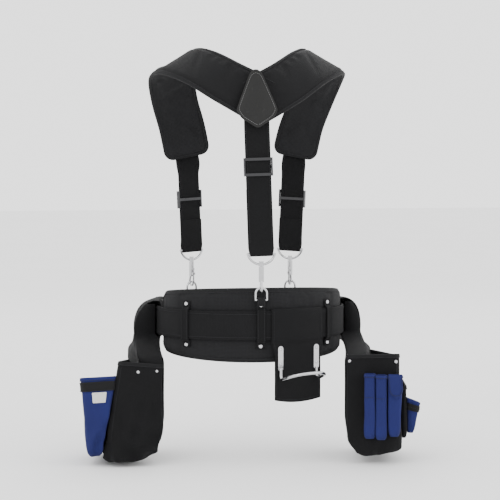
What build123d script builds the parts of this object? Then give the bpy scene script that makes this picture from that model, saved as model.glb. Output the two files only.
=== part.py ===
"""A padded carpenter's tool belt with suspenders, as separate named pieces.

Frame: millimetres, +Z up, +Y towards the wearer's front, so the back pad is at -Y.
The origin is the centre of the waist opening, at mid-height of the belt webbing.
"""

import os
from math import atan2, cos, degrees, hypot, radians, sin

from build123d import *

os.makedirs("parts", exist_ok=True)
pieces = {}

# ---------------------------------------------------------------- driving dimensions
# The waist is an oval of four tangent arcs. "gap" is a distance out from that oval.
WAIST_HALF_WIDTH = 150.0
WAIST_HALF_DEPTH = 118.0
SIDE_RADIUS = 100.0
SIDE_CENTRE = WAIST_HALF_WIDTH - SIDE_RADIUS
END_RISE = WAIST_HALF_DEPTH - SIDE_RADIUS
END_CENTRE = (SIDE_CENTRE**2 - END_RISE**2) / (2 * END_RISE)
END_RADIUS = SIDE_RADIUS + hypot(SIDE_CENTRE, END_CENTRE)
JOIN = degrees(atan2(END_CENTRE, SIDE_CENTRE))

BACK = 270.0
FRONT = 90.0

PAD_THICKNESS = 15.0
PAD_SKIN = 1.5
PAD_END = 10.0
PAD_HALF_HEIGHT_MIDDLE = 65.5
PAD_HALF_HEIGHT_END = 53.0
PAD_BINDING = 8.0

BELT_HALF_HEIGHT = 25.4
BELT_IN = 17.0
BELT_OUT = 21.0
TAIL_IN = 26.0
TAIL_OUT = 30.0

LOOP_WIDTH = 15.0
LOOP_SPREAD = 40.5
LOOP_TOP = 41.4
LOOP_THICKNESS = 2.4
RIVET_HEIGHT = 36.0
RIVET_RADIUS = 3.6
RIVET_RISE = 1.6
RIVET_CHAMFER = 0.9

RING_WIRE = 1.9
RING_RADIUS = 10.0
RING_RISE = 21.0
BACK_RING_GAP = 24.0
BACK_RING_HEIGHT = 46.0
FRONT_RING_GAP = 27.0
FRONT_RING_HEIGHT = 36.0
FRONT_RING_SPREAD = 27.0

STRAP_WIDTH = 45.0
STRAP_THICKNESS = 2.6
SLIDER_HEIGHT = 32.0
HOOK_HEIGHT = 38.0
HOOK_RADIUS = 4.5
BOLT_RADIUS = 1.6
BOLT_OFFSET = 6.6
CLAW_RADIUS = 6.5
CLAW_WIRE = 2.0
STRAP_LOOP_HALF = 24.0
STRAP_LOOP_DROP = 18.5
STRAP_LOOP_WIRE = 2.0

SHOULDER_WIDTH = 84.0
SHOULDER_THICKNESS = 10.0
YOKE_X = -6.0

POCKET_WALL = 2.0
SLEEVE_WALL = 2.4


# ---------------------------------------------------------------- shared geometry
def heading(angle):
    """Unit vector in plan."""
    return Vector(cos(radians(angle)), sin(radians(angle)), 0)


def waist_point(angle, gap):
    """The point whose outward direction has this angle, at this gap from the waist."""
    turn = angle % 360
    if turn <= JOIN or turn >= 360 - JOIN:
        return Vector(SIDE_CENTRE, 0, 0) + heading(angle) * (SIDE_RADIUS + gap)
    if turn < 180 - JOIN:
        return Vector(0, -END_CENTRE, 0) + heading(angle) * (END_RADIUS + gap)
    if turn <= 180 + JOIN:
        return Vector(-SIDE_CENTRE, 0, 0) + heading(angle) * (SIDE_RADIUS + gap)
    return Vector(0, END_CENTRE, 0) + heading(angle) * (END_RADIUS + gap)


def tangent_plane(angle, gap, height):
    """Faces outward from the waist: x runs along the belt, y is up."""
    origin = waist_point(angle, gap) + Vector(0, 0, height)
    return Plane(origin=origin, x_dir=heading(angle + 90), z_dir=heading(angle))


def section_plane(angle):
    """Cuts across the belt: x is the gap, y is the height."""
    return Plane(origin=waist_point(angle, 0), x_dir=heading(angle), z_dir=heading(angle - 90))


def waist_arcs(start, end, gap):
    """Draw the stretch of the oval between two directions."""
    joins = [turn + join for turn in (-360, 0) for join in (JOIN, 180 - JOIN, 180 + JOIN, 360 - JOIN)]
    stops = [start] + [join for join in joins if start < join < end] + [end]
    for first, last in zip(stops, stops[1:]):
        middle = (first + last) / 2
        ThreePointArc(waist_point(first, gap), waist_point(middle, gap), waist_point(last, gap))


def waist_strip(start, end, inner, outer, low, high):
    """A strip that stands on edge and follows the waist."""
    with BuildPart() as strip:
        with BuildSketch(Plane.XY.offset(low)):
            with BuildLine():
                waist_arcs(start, end, inner)
                waist_arcs(start, end, outer)
                Line(waist_point(start, inner), waist_point(start, outer))
                Line(waist_point(end, inner), waist_point(end, outer))
            make_face()
        extrude(amount=high - low)
    return strip.part


def rod(start, end, radius):
    """A round bar between two points."""
    start = Vector(start)
    end = Vector(end)
    with BuildPart() as bar:
        with BuildSketch(Plane(origin=start, z_dir=end - start)):
            Circle(radius)
        extrude(amount=(end - start).length)
    return bar.part


def placed(piece, plane):
    """The piece, made about the origin, put on a plane."""
    with BuildPart() as moved:
        add(piece.part.moved(plane.location))
    return moved


# ---------------------------------------------------------------- back pad
def pad_contour(inset):
    """The pad's outline seen from behind: taller in the middle, round at the corners."""
    half = WAIST_HALF_WIDTH + PAD_THICKNESS + 5 - inset
    middle = PAD_HALF_HEIGHT_MIDDLE - inset
    end = PAD_HALF_HEIGHT_END - inset
    with BuildSketch(Plane.XZ) as outline:
        with BuildLine():
            Spline((-half, end), (-half * 0.5, middle - 2), (0, middle), (half * 0.5, middle - 2), (half, end))
            Spline((-half, -end), (-half * 0.5, 2 - middle), (0, -middle), (half * 0.5, 2 - middle), (half, -end))
            Line((-half, end), (-half, -end))
            Line((half, end), (half, -end))
        make_face()
    return outline.sketch


def pad_layer(inner, outer, inset):
    """One layer of the pad, cut to the contour."""
    trim = degrees(inset / (SIDE_RADIUS + PAD_THICKNESS))
    height = PAD_HALF_HEIGHT_MIDDLE + 1
    with BuildPart() as layer:
        add(waist_strip(180 + PAD_END + trim, 360 - PAD_END - trim, inner, outer, -height, height))
        extrude(pad_contour(inset), amount=200, mode=Mode.INTERSECT)
    return layer.part


with BuildPart() as pad_lining:
    add(pad_layer(0, PAD_SKIN, PAD_BINDING))
pieces["pad_lining"] = pad_lining

with BuildPart() as pad_foam:
    add(pad_layer(PAD_SKIN, PAD_THICKNESS - PAD_SKIN, PAD_BINDING))
pieces["pad_foam"] = pad_foam

with BuildPart() as pad_cover:
    add(pad_layer(PAD_THICKNESS - PAD_SKIN, PAD_THICKNESS, PAD_BINDING))
pieces["pad_cover"] = pad_cover

with BuildPart() as pad_binding:
    add(pad_layer(0, PAD_THICKNESS, 0))
    add(pad_layer(-1, PAD_THICKNESS + 1, PAD_BINDING), mode=Mode.SUBTRACT)
pieces["pad_binding"] = pad_binding


# ---------------------------------------------------------------- belt loops on the pad
def belt_loop(angle):
    """A vertical strip riveted to the pad above and below, bridging the belt."""
    foot = PAD_THICKNESS + 0.2
    crown = BELT_OUT + 0.7
    step = BELT_HALF_HEIGHT + 1
    with BuildPart() as loop:
        with BuildSketch(section_plane(angle)):
            with BuildLine():
                Polyline(
                    (foot, LOOP_TOP),
                    (foot, step),
                    (crown, step - 0.4),
                    (crown, 0.4 - step),
                    (foot, -step),
                    (foot, -LOOP_TOP),
                    (foot + LOOP_THICKNESS, -LOOP_TOP),
                    (foot + LOOP_THICKNESS, -step - LOOP_THICKNESS),
                    (crown + LOOP_THICKNESS, -step - LOOP_THICKNESS + 1),
                    (crown + LOOP_THICKNESS, step + LOOP_THICKNESS - 1),
                    (foot + LOOP_THICKNESS, step + LOOP_THICKNESS),
                    (foot + LOOP_THICKNESS, LOOP_TOP),
                    close=True,
                )
            make_face()
        extrude(amount=LOOP_WIDTH / 2, both=True)
    return loop


for side, angle in (("left", BACK - LOOP_SPREAD), ("centre", BACK), ("right", BACK + LOOP_SPREAD)):
    pieces[f"belt_loop_{side}"] = belt_loop(angle)


def rivet(plane, radius=RIVET_RADIUS):
    """A domed rivet head that stands on a plane."""
    with BuildPart() as head:
        with BuildSketch(plane):
            Circle(radius)
        extrude(amount=RIVET_RISE)
        chamfer(head.faces().sort_by(Axis(plane.origin, plane.z_dir))[-1].edges(), RIVET_CHAMFER)
    return head.part


with BuildPart() as loop_rivets:
    for angle in (BACK - LOOP_SPREAD, BACK, BACK + LOOP_SPREAD):
        top_gap = PAD_THICKNESS + 0.3 + LOOP_THICKNESS
        if angle == BACK:
            add(rivet(tangent_plane(angle, top_gap + 2.2, RIVET_HEIGHT)))
        else:
            add(rivet(tangent_plane(angle, top_gap, RIVET_HEIGHT)))
        add(rivet(tangent_plane(angle, top_gap, -RIVET_HEIGHT)))
pieces["loop_rivets"] = loop_rivets


# ---------------------------------------------------------------- belt webbing and buckle
BUCKLE_BAR = (13.6, WAIST_HALF_DEPTH + 19.0)
ROLLER_BAR = (-22.0, WAIST_HALF_DEPTH + 25.2)
BAR_RADIUS = 2.5
TONGUE_HEIGHT = 10.0
RAMP_START = 97.0
RAMP_END = 88.0
TAIL_END = 70.0
BUCKLE_END = 86.0

with BuildPart() as belt_webbing:
    add(waist_strip(RAMP_START - 360, BUCKLE_END, BELT_IN, BELT_OUT, -BELT_HALF_HEIGHT, BELT_HALF_HEIGHT))
    add(waist_strip(TAIL_END, RAMP_END, TAIL_IN, TAIL_OUT, -BELT_HALF_HEIGHT, BELT_HALF_HEIGHT))
    with BuildSketch(Plane.XY.offset(-BELT_HALF_HEIGHT)):
        with BuildLine():
            Polyline(
                waist_point(RAMP_START, BELT_IN),
                waist_point(RAMP_START, BELT_OUT),
                waist_point(RAMP_END, TAIL_OUT),
                waist_point(RAMP_END, TAIL_IN),
                close=True,
            )
        make_face()
        with Locations(BUCKLE_BAR):
            Circle(6)
    extrude(amount=2 * BELT_HALF_HEIGHT)
    with BuildSketch(Plane.XY.offset(-BELT_HALF_HEIGHT)):
        with Locations(BUCKLE_BAR):
            Circle(BAR_RADIUS + 0.3)
    extrude(amount=2 * BELT_HALF_HEIGHT, mode=Mode.SUBTRACT)
    for height in (-TONGUE_HEIGHT, TONGUE_HEIGHT):
        with Locations((0, WAIST_HALF_DEPTH + 23, height)):
            Box(43, 20, 7, mode=Mode.SUBTRACT)
pieces["belt_webbing"] = belt_webbing

with BuildPart() as buckle_frame:
    add(rod((*BUCKLE_BAR, -31), (*BUCKLE_BAR, 31), BAR_RADIUS))
    add(rod((*ROLLER_BAR, -31), (*ROLLER_BAR, 31), BAR_RADIUS))
    for low in (-33, 28):
        with BuildSketch(Plane.XY.offset(low)):
            with Locations(BUCKLE_BAR, ROLLER_BAR):
                Circle(4)
            make_hull()
        extrude(amount=5)
pieces["buckle_frame"] = buckle_frame

with BuildPart() as buckle_roller:
    with BuildSketch(Plane.XY.offset(-27)):
        with Locations(ROLLER_BAR):
            Circle(3.6)
            Circle(BAR_RADIUS + 0.06, mode=Mode.SUBTRACT)
    extrude(amount=54)
pieces["buckle_roller"] = buckle_roller

with BuildPart() as buckle_tongues:
    for height in (-TONGUE_HEIGHT, TONGUE_HEIGHT):
        add(rod((10.5, BUCKLE_BAR[1] + 4.0, height), (-27.5, ROLLER_BAR[1] + 7.6, height), 1.75))
        with BuildSketch(Plane.XY.offset(height - 2.4)):
            with Locations(BUCKLE_BAR):
                Circle(5)
        extrude(amount=4.8)
        with BuildSketch(Plane.XY.offset(height - 3)):
            with Locations(BUCKLE_BAR):
                Circle(BAR_RADIUS + 0.06)
        extrude(amount=6, mode=Mode.SUBTRACT)
pieces["buckle_tongues"] = buckle_tongues

with BuildPart() as belt_eyelets:
    for angle, gap in ((102, BELT_OUT), (107, BELT_OUT), (72.5, TAIL_OUT)):
        for height in (-TONGUE_HEIGHT, TONGUE_HEIGHT):
            with BuildSketch(tangent_plane(angle, gap + 0.1, height)):
                Circle(4.4)
                Circle(2.6, mode=Mode.SUBTRACT)
            extrude(amount=0.9)
pieces["belt_eyelets"] = belt_eyelets

with BuildPart() as belt_end_rivets:
    for height in (-14, 14):
        add(rivet(tangent_plane(78, BELT_OUT + 0.1, height)))
pieces["belt_end_rivets"] = belt_end_rivets

KEEPER = 77.0
with BuildPart() as belt_keeper:
    add(waist_strip(KEEPER - 1.8, KEEPER + 1.8, BELT_IN - 2.6, TAIL_OUT + 2.4, -28.2, 28.2))
    add(
        waist_strip(KEEPER - 3, KEEPER + 3, BELT_IN - 0.6, TAIL_OUT + 0.6, -26.2, 26.2),
        mode=Mode.SUBTRACT,
    )
pieces["belt_keeper"] = belt_keeper


# ---------------------------------------------------------------- rings that the hooks clip to
def ring_tab(angle, gap, height, strip_low, strip_gap):
    """A strip folded round the ring's straight bar."""
    with BuildPart() as tab:
        with BuildSketch(section_plane(angle)):
            with BuildLine():
                Polyline(
                    (strip_gap, strip_low),
                    (strip_gap + 2, strip_low),
                    (strip_gap + 2, height - 4.2),
                    (gap, height - 4.2),
                    (gap, height + 4.2),
                    (gap - 4.2, height),
                    (strip_gap, height - 4.2),
                    close=True,
                )
            make_face()
            with Locations((gap, height)):
                Circle(4.2)
                Circle(RING_WIRE + 0.3, mode=Mode.SUBTRACT)
        extrude(amount=LOOP_WIDTH / 2, both=True)
    return tab


def d_ring(angle, gap, height):
    """A wire ring: a straight bar below, a round bow above."""
    shoulder = RING_RISE - RING_RADIUS
    with BuildPart() as ring:
        with BuildLine():
            Line((RING_RADIUS, 0), (RING_RADIUS, shoulder))
            ThreePointArc((RING_RADIUS, shoulder), (0, RING_RISE), (-RING_RADIUS, shoulder))
            Line((-RING_RADIUS, shoulder), (-RING_RADIUS, 0))
        with BuildSketch(Plane(origin=(RING_RADIUS, 0, 0), z_dir=(0, 1, 0))):
            Circle(RING_WIRE)
        sweep()
        add(rod((-RING_RADIUS, 0, 0), (RING_RADIUS, 0, 0), RING_WIRE))
        with Locations((-RING_RADIUS, 0, 0), (RING_RADIUS, 0, 0)):
            Sphere(RING_WIRE)
    return placed(ring, tangent_plane(angle, gap, height))


ring_places = {
    "back": (BACK, BACK_RING_GAP, BACK_RING_HEIGHT, 30.0, PAD_THICKNESS + 0.3 + LOOP_THICKNESS),
    "left": (FRONT + FRONT_RING_SPREAD, FRONT_RING_GAP, FRONT_RING_HEIGHT, -20.0, BELT_OUT + 0.1),
    "right": (FRONT - FRONT_RING_SPREAD, FRONT_RING_GAP, FRONT_RING_HEIGHT, -20.0, BELT_OUT + 0.1),
}
for side, (angle, gap, height, strip_low, strip_gap) in ring_places.items():
    pieces[f"{side}_ring_tab"] = ring_tab(angle, gap, height, strip_low, strip_gap)
    pieces[f"{side}_d_ring"] = d_ring(angle, gap, height)


# ---------------------------------------------------------------- snap hooks
def snap_hook(angle, gap, centre):
    """A swivel hook: barrel, claw round the ring, and a guide for the bolt.

    It is made with its claw's centre at the origin: x is outward, y is up.
    """
    low = CLAW_RADIUS + 4
    with BuildPart() as hook:
        with BuildLine():
            ThreePointArc((CLAW_RADIUS, 0), (0, -CLAW_RADIUS), (-CLAW_RADIUS, 0))
            Line((-CLAW_RADIUS, 0), (-CLAW_RADIUS, 3))
        with BuildSketch(Plane(origin=(CLAW_RADIUS, 0, 0), z_dir=(0, -1, 0))):
            Circle(CLAW_WIRE)
        sweep()
        with Locations((CLAW_RADIUS, 0, 0)):
            Sphere(CLAW_WIRE)
        add(rod((2.4, low + 3, 0), (CLAW_RADIUS, 0, 0), CLAW_WIRE))
        add(rod((0, low, 0), (0, HOOK_HEIGHT, 0), HOOK_RADIUS))
        add(rod((0, HOOK_HEIGHT, 0), (0, HOOK_HEIGHT + 6.4, 0), 2.44))
        add(rod((0, HOOK_HEIGHT + 6.2, 0), (0, HOOK_HEIGHT + 9, 0), 4.0))
        add(rod((-BOLT_OFFSET, low + 3, 0), (-BOLT_OFFSET, low + 7, 0), 3.4))
        add(
            rod((-BOLT_OFFSET, low + 2, 0), (-BOLT_OFFSET, low + 8, 0), BOLT_RADIUS + 0.1),
            mode=Mode.SUBTRACT,
        )
    section = section_plane(angle)
    section.origin = section.from_local_coords((gap, centre))
    return placed(hook, section)


def hook_bolt(angle, gap, centre):
    """The sprung bolt that closes the claw, with its thumb knob."""
    low = centre + 3.4
    place = waist_point(angle, gap - BOLT_OFFSET)
    with BuildPart() as bolt:
        add(rod((place.X, place.Y, low), (place.X, place.Y, low + 23), BOLT_RADIUS))
        add(rod((place.X, place.Y, low + 19), (place.X, place.Y, low + 23), BOLT_RADIUS + 0.4))
    return bolt


def strap_loop(angle, gap, boss):
    """The wire loop in the strap's end, with the boss that the hook swivels in."""
    drop = -STRAP_LOOP_DROP
    with BuildPart() as loop:
        with BuildLine() as bow:
            ThreePointArc((STRAP_LOOP_HALF, 0), (0, drop), (-STRAP_LOOP_HALF, 0))
        with BuildSketch(Plane(origin=(STRAP_LOOP_HALF, 0, 0), z_dir=bow.line % 0)):
            Circle(STRAP_LOOP_WIRE)
        sweep()
        add(rod((-STRAP_LOOP_HALF, 0, 0), (STRAP_LOOP_HALF, 0, 0), STRAP_LOOP_WIRE))
        with Locations((-STRAP_LOOP_HALF, 0, 0), (STRAP_LOOP_HALF, 0, 0)):
            Sphere(STRAP_LOOP_WIRE)
        add(rod((0, drop - 2.6, 0), (0, drop + 2.6, 0), 4.6))
        add(rod((0, drop - 5, 0), (0, drop + 5, 0), 2.5), mode=Mode.SUBTRACT)
        add(rod((0, drop + 2.6, 0), (0, drop + 8, 0), 4.4), mode=Mode.SUBTRACT)
    return placed(loop, tangent_plane(angle, gap, boss + STRAP_LOOP_DROP))


for side, (angle, gap, height, strip_low, strip_gap) in ring_places.items():
    claw_centre = height + RING_RISE
    pieces[f"{side}_hook"] = snap_hook(angle, gap, claw_centre)
    pieces[f"{side}_bolt"] = hook_bolt(angle, gap, claw_centre)
    pieces[f"{side}_strap_loop"] = strap_loop(angle, gap, claw_centre + HOOK_HEIGHT + 3.2)


# ---------------------------------------------------------------- suspender webbing and sliders
def strap_plane(side):
    """x across the strap, y out of its face, z along it upwards, from the wire loop's bar."""
    start = loop_bar(side)
    along = (strap_ends[side] - start).normalized()
    bar_line = heading(ring_places[side][0] - 90)
    across = (bar_line - along * bar_line.dot(along)).normalized()
    return Plane(origin=start, x_dir=across, z_dir=along)


def webbing(side):
    """A flat strap with its lower end folded round the wire loop's bar."""
    start = loop_bar(side)
    lower = strap_plane(side)
    bar_half = STRAP_WIDTH / 2 - 2.6
    bar = Plane(origin=start, z_dir=heading(ring_places[side][0] + 90))
    with BuildPart() as strap:
        with BuildSketch(lower.offset(3)):
            Rectangle(STRAP_WIDTH, STRAP_THICKNESS)
        extrude(amount=(strap_ends[side] - start).length - 3)
        with BuildSketch(bar):
            Circle(4.4)
        extrude(amount=bar_half, both=True)
        with BuildSketch(bar):
            Circle(2.05)
        extrude(amount=bar_half + 2, both=True, mode=Mode.SUBTRACT)
    return strap


def slider(side):
    """A three-bar slider: two bars before the strap, one behind it."""
    middle = strap_plane(side).offset(slider_places[side])
    inner = STRAP_WIDTH / 2 + 0.4
    outer = STRAP_WIDTH / 2 + 2.9
    face = STRAP_THICKNESS / 2 + 0.35
    with BuildPart() as frame:
        with BuildSketch(middle):
            with Locations(((inner + outer) / 2, 0), (-(inner + outer) / 2, 0)):
                Rectangle(outer - inner, 2 * face + 4)
        extrude(amount=SLIDER_HEIGHT / 2, both=True)
        for shift in (5 - SLIDER_HEIGHT / 2, SLIDER_HEIGHT / 2):
            with BuildSketch(middle.offset(shift)):
                with Locations((0, face + 1)):
                    Rectangle(2 * outer, 2)
            extrude(amount=-5)
        with BuildSketch(middle.offset(2.5)):
            with Locations((0, -face - 1)):
                Rectangle(2 * outer, 2)
        extrude(amount=-5)
    return frame


def loop_bar(side):
    """Centre of the bar that a strap folds round."""
    angle, gap, height = ring_places[side][:3]
    return waist_point(angle, gap) + Vector(0, 0, height + RING_RISE + HOOK_HEIGHT + 3.2 + STRAP_LOOP_DROP)


CHEST_X = 100.0
CHEST_Y = 122.0
CHEST_Z = 300.0
strap_ends = {
    "back": Vector(YOKE_X, -127, 352),
    "left": Vector(-CHEST_X, CHEST_Y, CHEST_Z - 15),
    "right": Vector(CHEST_X, CHEST_Y, CHEST_Z - 15),
}
slider_places = {"back": 152.0, "left": 95.0, "right": 95.0}
strap_names = {"back": "back_strap", "left": "left_front_strap", "right": "right_front_strap"}
for side, name in strap_names.items():
    pieces[name] = webbing(side)
    pieces[f"{side}_slider"] = slider(side)


# ---------------------------------------------------------------- shoulder pads and yoke
# Centre line over the left shoulder: place, direction across the pad towards the arm.
SHOULDER_LINE = [
    ((12, -116, 390), (-0.42, -0.10, -0.90)),
    ((-50, -100, 424), (-0.44, -0.33, -0.83)),
    ((-98, -62, 453), (-0.60, -0.42, -0.68)),
    ((-132, -8, 463), (-0.84, -0.22, -0.50)),
    ((-138, 48, 441), (-0.96, 0.05, -0.28)),
    ((-128, 88, 395), (-0.99, 0.12, -0.05)),
    ((-112, 110, 345), (-0.99, 0.10, 0.06)),
    ((-CHEST_X, CHEST_Y - 4, CHEST_Z - 10), (-1.0, 0.05, 0.08)),
]


def shoulder_pad(side):
    """A padded band from the yoke over the shoulder to the chest."""
    places = [Vector(-side * x, y, z) for (x, y, z), across in SHOULDER_LINE]
    with BuildPart() as pad:
        for number, (point, (_, across)) in enumerate(zip(places, SHOULDER_LINE)):
            before = places[max(number - 1, 0)]
            after = places[min(number + 1, len(places) - 1)]
            along = (after - before).normalized()
            width = Vector(-side * across[0], across[1], across[2])
            width = (width - along * width.dot(along)).normalized()
            with BuildSketch(Plane(origin=point, x_dir=width, z_dir=along)):
                Rectangle(SHOULDER_WIDTH, SHOULDER_THICKNESS)
        loft()
        cut = Plane.YZ.offset(YOKE_X + side * 0.3)
        split(bisect_by=cut, keep=Keep.TOP if side > 0 else Keep.BOTTOM)
    return pad


pieces["left_shoulder_pad"] = shoulder_pad(-1)
pieces["right_shoulder_pad"] = shoulder_pad(1)

YOKE_LOW = 345.0
YOKE_HEIGHT = 108.0
YOKE_LEAN = 27.0
YOKE_THICKNESS = 2.2


def yoke(y, grow):
    """A kite-shaped piece of leather over the place where the straps meet."""
    lean = Vector(0, -YOKE_HEIGHT, YOKE_LEAN).normalized()
    plane = Plane(origin=(YOKE_X, y, YOKE_LOW), x_dir=(1, 0, 0), z_dir=lean)
    with BuildPart() as kite:
        with BuildSketch(plane):
            with BuildLine():
                Polyline(
                    (0, -grow),
                    (28 + grow, 18),
                    (37 + grow, 33),
                    (10 + grow, YOKE_HEIGHT - 6),
                    (0, YOKE_HEIGHT + grow),
                    (-10 - grow, YOKE_HEIGHT - 6),
                    (-37 - grow, 33),
                    (-28 - grow, 18),
                    close=True,
                )
            make_face()
        extrude(amount=YOKE_THICKNESS)
    return kite


pieces["yoke_patch"] = yoke(-139.0, 0)
pieces["yoke_backing"] = yoke(-108.0, -5)


# ---------------------------------------------------------------- hammer holder
HAMMER_ANGLE = BACK + 20.0
HAMMER_SPREAD = 15.2
HAMMER_TOP_HALF = 52.0
HAMMER_HALF = 46.0
HAMMER_LOW = -139.0
PANEL_IN = 17.6
PANEL_OUT = 20.1
LEG_SPREAD = 36.0
LEG_TOP = -36.0
LEG_LOW = -80.0
LEG_THICKNESS = 2.0
BOW_RADIUS = 2.75
BOW_LOW = -98.0
BOW_REACH = 52.0
BOW_TILT = 20.0

with BuildPart() as hammer_sleeve:
    start = HAMMER_ANGLE - HAMMER_SPREAD
    end = HAMMER_ANGLE + HAMMER_SPREAD
    add(waist_strip(start, end, PAD_THICKNESS + 0.4, BELT_OUT + 2.4, -29, 29))
    add(waist_strip(start - 1, end + 1, PAD_THICKNESS + 1.6, BELT_OUT + 0.5, -26.2, 26.2), mode=Mode.SUBTRACT)
pieces["hammer_sleeve"] = hammer_sleeve

with BuildPart() as hammer_panel:
    with BuildSketch(tangent_plane(HAMMER_ANGLE, PANEL_IN, 0)):
        with BuildLine():
            Polyline(
                (-HAMMER_HALF, HAMMER_LOW + 6),
                (-HAMMER_HALF, -52),
                (-HAMMER_TOP_HALF, -29.4),
                (HAMMER_TOP_HALF, -29.4),
                (HAMMER_HALF, -52),
                (HAMMER_HALF, HAMMER_LOW + 6),
            )
            ThreePointArc((HAMMER_HALF, HAMMER_LOW + 6), (0, HAMMER_LOW), (-HAMMER_HALF, HAMMER_LOW + 6))
        make_face()
    extrude(amount=PANEL_OUT - PANEL_IN)
pieces["hammer_panel"] = hammer_panel

with BuildPart() as hammer_loop:
    face = tangent_plane(HAMMER_ANGLE, PANEL_OUT + 0.1, 0)
    rod_rise = BOW_RADIUS + 0.1
    tip_height = BOW_LOW + BOW_REACH * sin(radians(BOW_TILT))
    tip_rise = rod_rise + BOW_REACH * cos(radians(BOW_TILT))
    route = [
        (-LEG_SPREAD, LEG_LOW + 4, rod_rise),
        (-LEG_SPREAD, BOW_LOW, rod_rise),
        (-LEG_SPREAD, tip_height, tip_rise),
        (LEG_SPREAD, tip_height, tip_rise),
        (LEG_SPREAD, BOW_LOW, rod_rise),
        (LEG_SPREAD, LEG_LOW + 4, rod_rise),
    ]
    with BuildLine(face):
        FilletPolyline(*route, radius=[7, 30, 30, 7])
    with BuildSketch(Plane(origin=face.from_local_coords(route[0]), z_dir=(0, 0, 1))):
        Circle(BOW_RADIUS)
    sweep()
    with BuildSketch(face):
        with Locations((-LEG_SPREAD, (LEG_TOP + LEG_LOW) / 2), (LEG_SPREAD, (LEG_TOP + LEG_LOW) / 2)):
            SlotOverall(LEG_TOP - LEG_LOW, 10, rotation=90)
    extrude(amount=LEG_THICKNESS)
pieces["hammer_loop"] = hammer_loop

with BuildPart() as hammer_rivets:
    for across in (-LEG_SPREAD, LEG_SPREAD):
        for height in (-42, -68):
            spot = face.offset(LEG_THICKNESS + 0.05)
            spot.origin = spot.from_local_coords((across, height))
            add(rivet(spot, 2.4))
pieces["hammer_rivets"] = hammer_rivets


# ---------------------------------------------------------------- pouches
# Each pouch has its own upright frame: "out" from the waist's centre, "rear" towards the back.
# (direction that the pouch faces, direction of its rear side, side of the body)
LEFT_POUCH = (183.0, 273.0, -1)
RIGHT_POUCH = (-14.0, -104.0, 1)
SLEEVE_SPREAD = 36.0
SLEEVE_REAR = -4.0
POUCH_REAR = 85.0
POUCH_LENGTH = 180.0
BACK_PANEL_TOP = -54.0


def pouch_plane(pouch, rear):
    """An upright plane across the pouch: x is outward, y is up."""
    facing, behind, _ = pouch
    return Plane(origin=heading(behind) * rear, x_dir=heading(facing), z_dir=heading(facing - 90))


def rear_plane(pouch, out, rear, height):
    """A plane on a rear side of the pouch, facing rearwards."""
    facing, behind, _ = pouch
    origin = heading(facing) * out + heading(behind) * rear + Vector(0, 0, height)
    return Plane(origin=origin, x_dir=heading(behind + 90), z_dir=heading(behind))


def pouch_block(pouch, outline, rear, length):
    """A solid with this outline seen from behind, reaching forward from its rear side."""
    with BuildPart() as block:
        with BuildSketch(pouch_plane(pouch, rear)):
            with BuildLine():
                Polyline(*outline, close=True)
            make_face()
        extrude(amount=length, dir=heading(pouch[1]) * -1)
    return block


def open_pocket(pouch, outline, rear, length, wall=POCKET_WALL):
    """A thin-walled pocket that is open at the top."""
    pocket = pouch_block(pouch, outline, rear, length)
    with pocket:
        mouth = pocket.faces().sort_by(Axis.Z)[-1]
        offset(amount=-wall, openings=mouth)
    return pocket


def belt_sleeve(side):
    """The tunnel on a pouch that the belt runs through, standing off it like folded cloth."""
    start = SLEEVE_REAR if side > 0 else 180 - SLEEVE_REAR - SLEEVE_SPREAD
    with BuildPart() as sleeve:
        with BuildSketch(section_plane(start)):
            with BuildLine():
                Polyline(
                    (13, -50), (13, 31), (16, 35), (27, 35), (43, 24), (51, 2), (48, -20), (38, -42), (26, -50),
                    close=True,
                )
            make_face()
            offset(amount=-SLEEVE_WALL, mode=Mode.SUBTRACT)
        revolve(axis=Axis((side * SIDE_CENTRE, 0, 0), (0, 0, 1)), revolution_arc=SLEEVE_SPREAD)
    return sleeve


for side_name, pouch, back_out in (("left", LEFT_POUCH, 172.7), ("right", RIGHT_POUCH, 179.4)):
    pieces[f"{side_name}_pouch_sleeve"] = belt_sleeve(pouch[2])
    panel = [(back_out - 2.3, BACK_PANEL_TOP), (back_out, BACK_PANEL_TOP), (back_out, -206), (back_out - 2.3, -206)]
    pieces[f"{side_name}_pouch_back"] = pouch_block(pouch, panel, POUCH_REAR, POUCH_LENGTH)

LEFT_OUTLINE = [(173, -72), (252, -64), (281, -236), (262, -246), (225, -246), (195, -236), (176, -208)]
pieces["left_pouch_pocket"] = open_pocket(LEFT_POUCH, LEFT_OUTLINE, POUCH_REAR, POUCH_LENGTH)

LEFT_BLUE_OUTLINE = [(257, -90), (321, -92), (309, -232), (296, -238), (281.6, -232)]
LEFT_BLUE_REAR = 80.0
pieces["left_blue_pocket"] = open_pocket(LEFT_POUCH, LEFT_BLUE_OUTLINE, LEFT_BLUE_REAR, 155)

with BuildPart() as left_pocket_band:
    rear = LEFT_BLUE_REAR
    add(pouch_block(LEFT_POUCH, [(263, -101), (322, -101), (322, -117), (263, -117)], rear + 1.3, 1).part)
    add(pouch_block(LEFT_POUCH, [(321, -101), (322, -101), (322, -117), (321, -117)], rear + 0.8, 140).part)
pieces["left_pocket_band"] = left_pocket_band
pieces["left_care_label"] = pouch_block(
    LEFT_POUCH, [(269, -118), (292, -118), (292, -137), (269, -137)], LEFT_BLUE_REAR + 0.9, 0.6
)

RIGHT_OUTLINE = [(180, -56), (275, -53), (280, -224), (262, -232), (210, -240), (192, -228), (181, -208)]
pieces["right_pouch_pocket"] = open_pocket(RIGHT_POUCH, RIGHT_OUTLINE, POUCH_REAR, POUCH_LENGTH)

RIGHT_FRONT_OUTLINE = [(277.4, -112), (289, -112), (290, -196), (280.6, -206)]
pieces["right_front_pocket"] = open_pocket(RIGHT_POUCH, RIGHT_FRONT_OUTLINE, 70, 150, 1.5)

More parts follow.
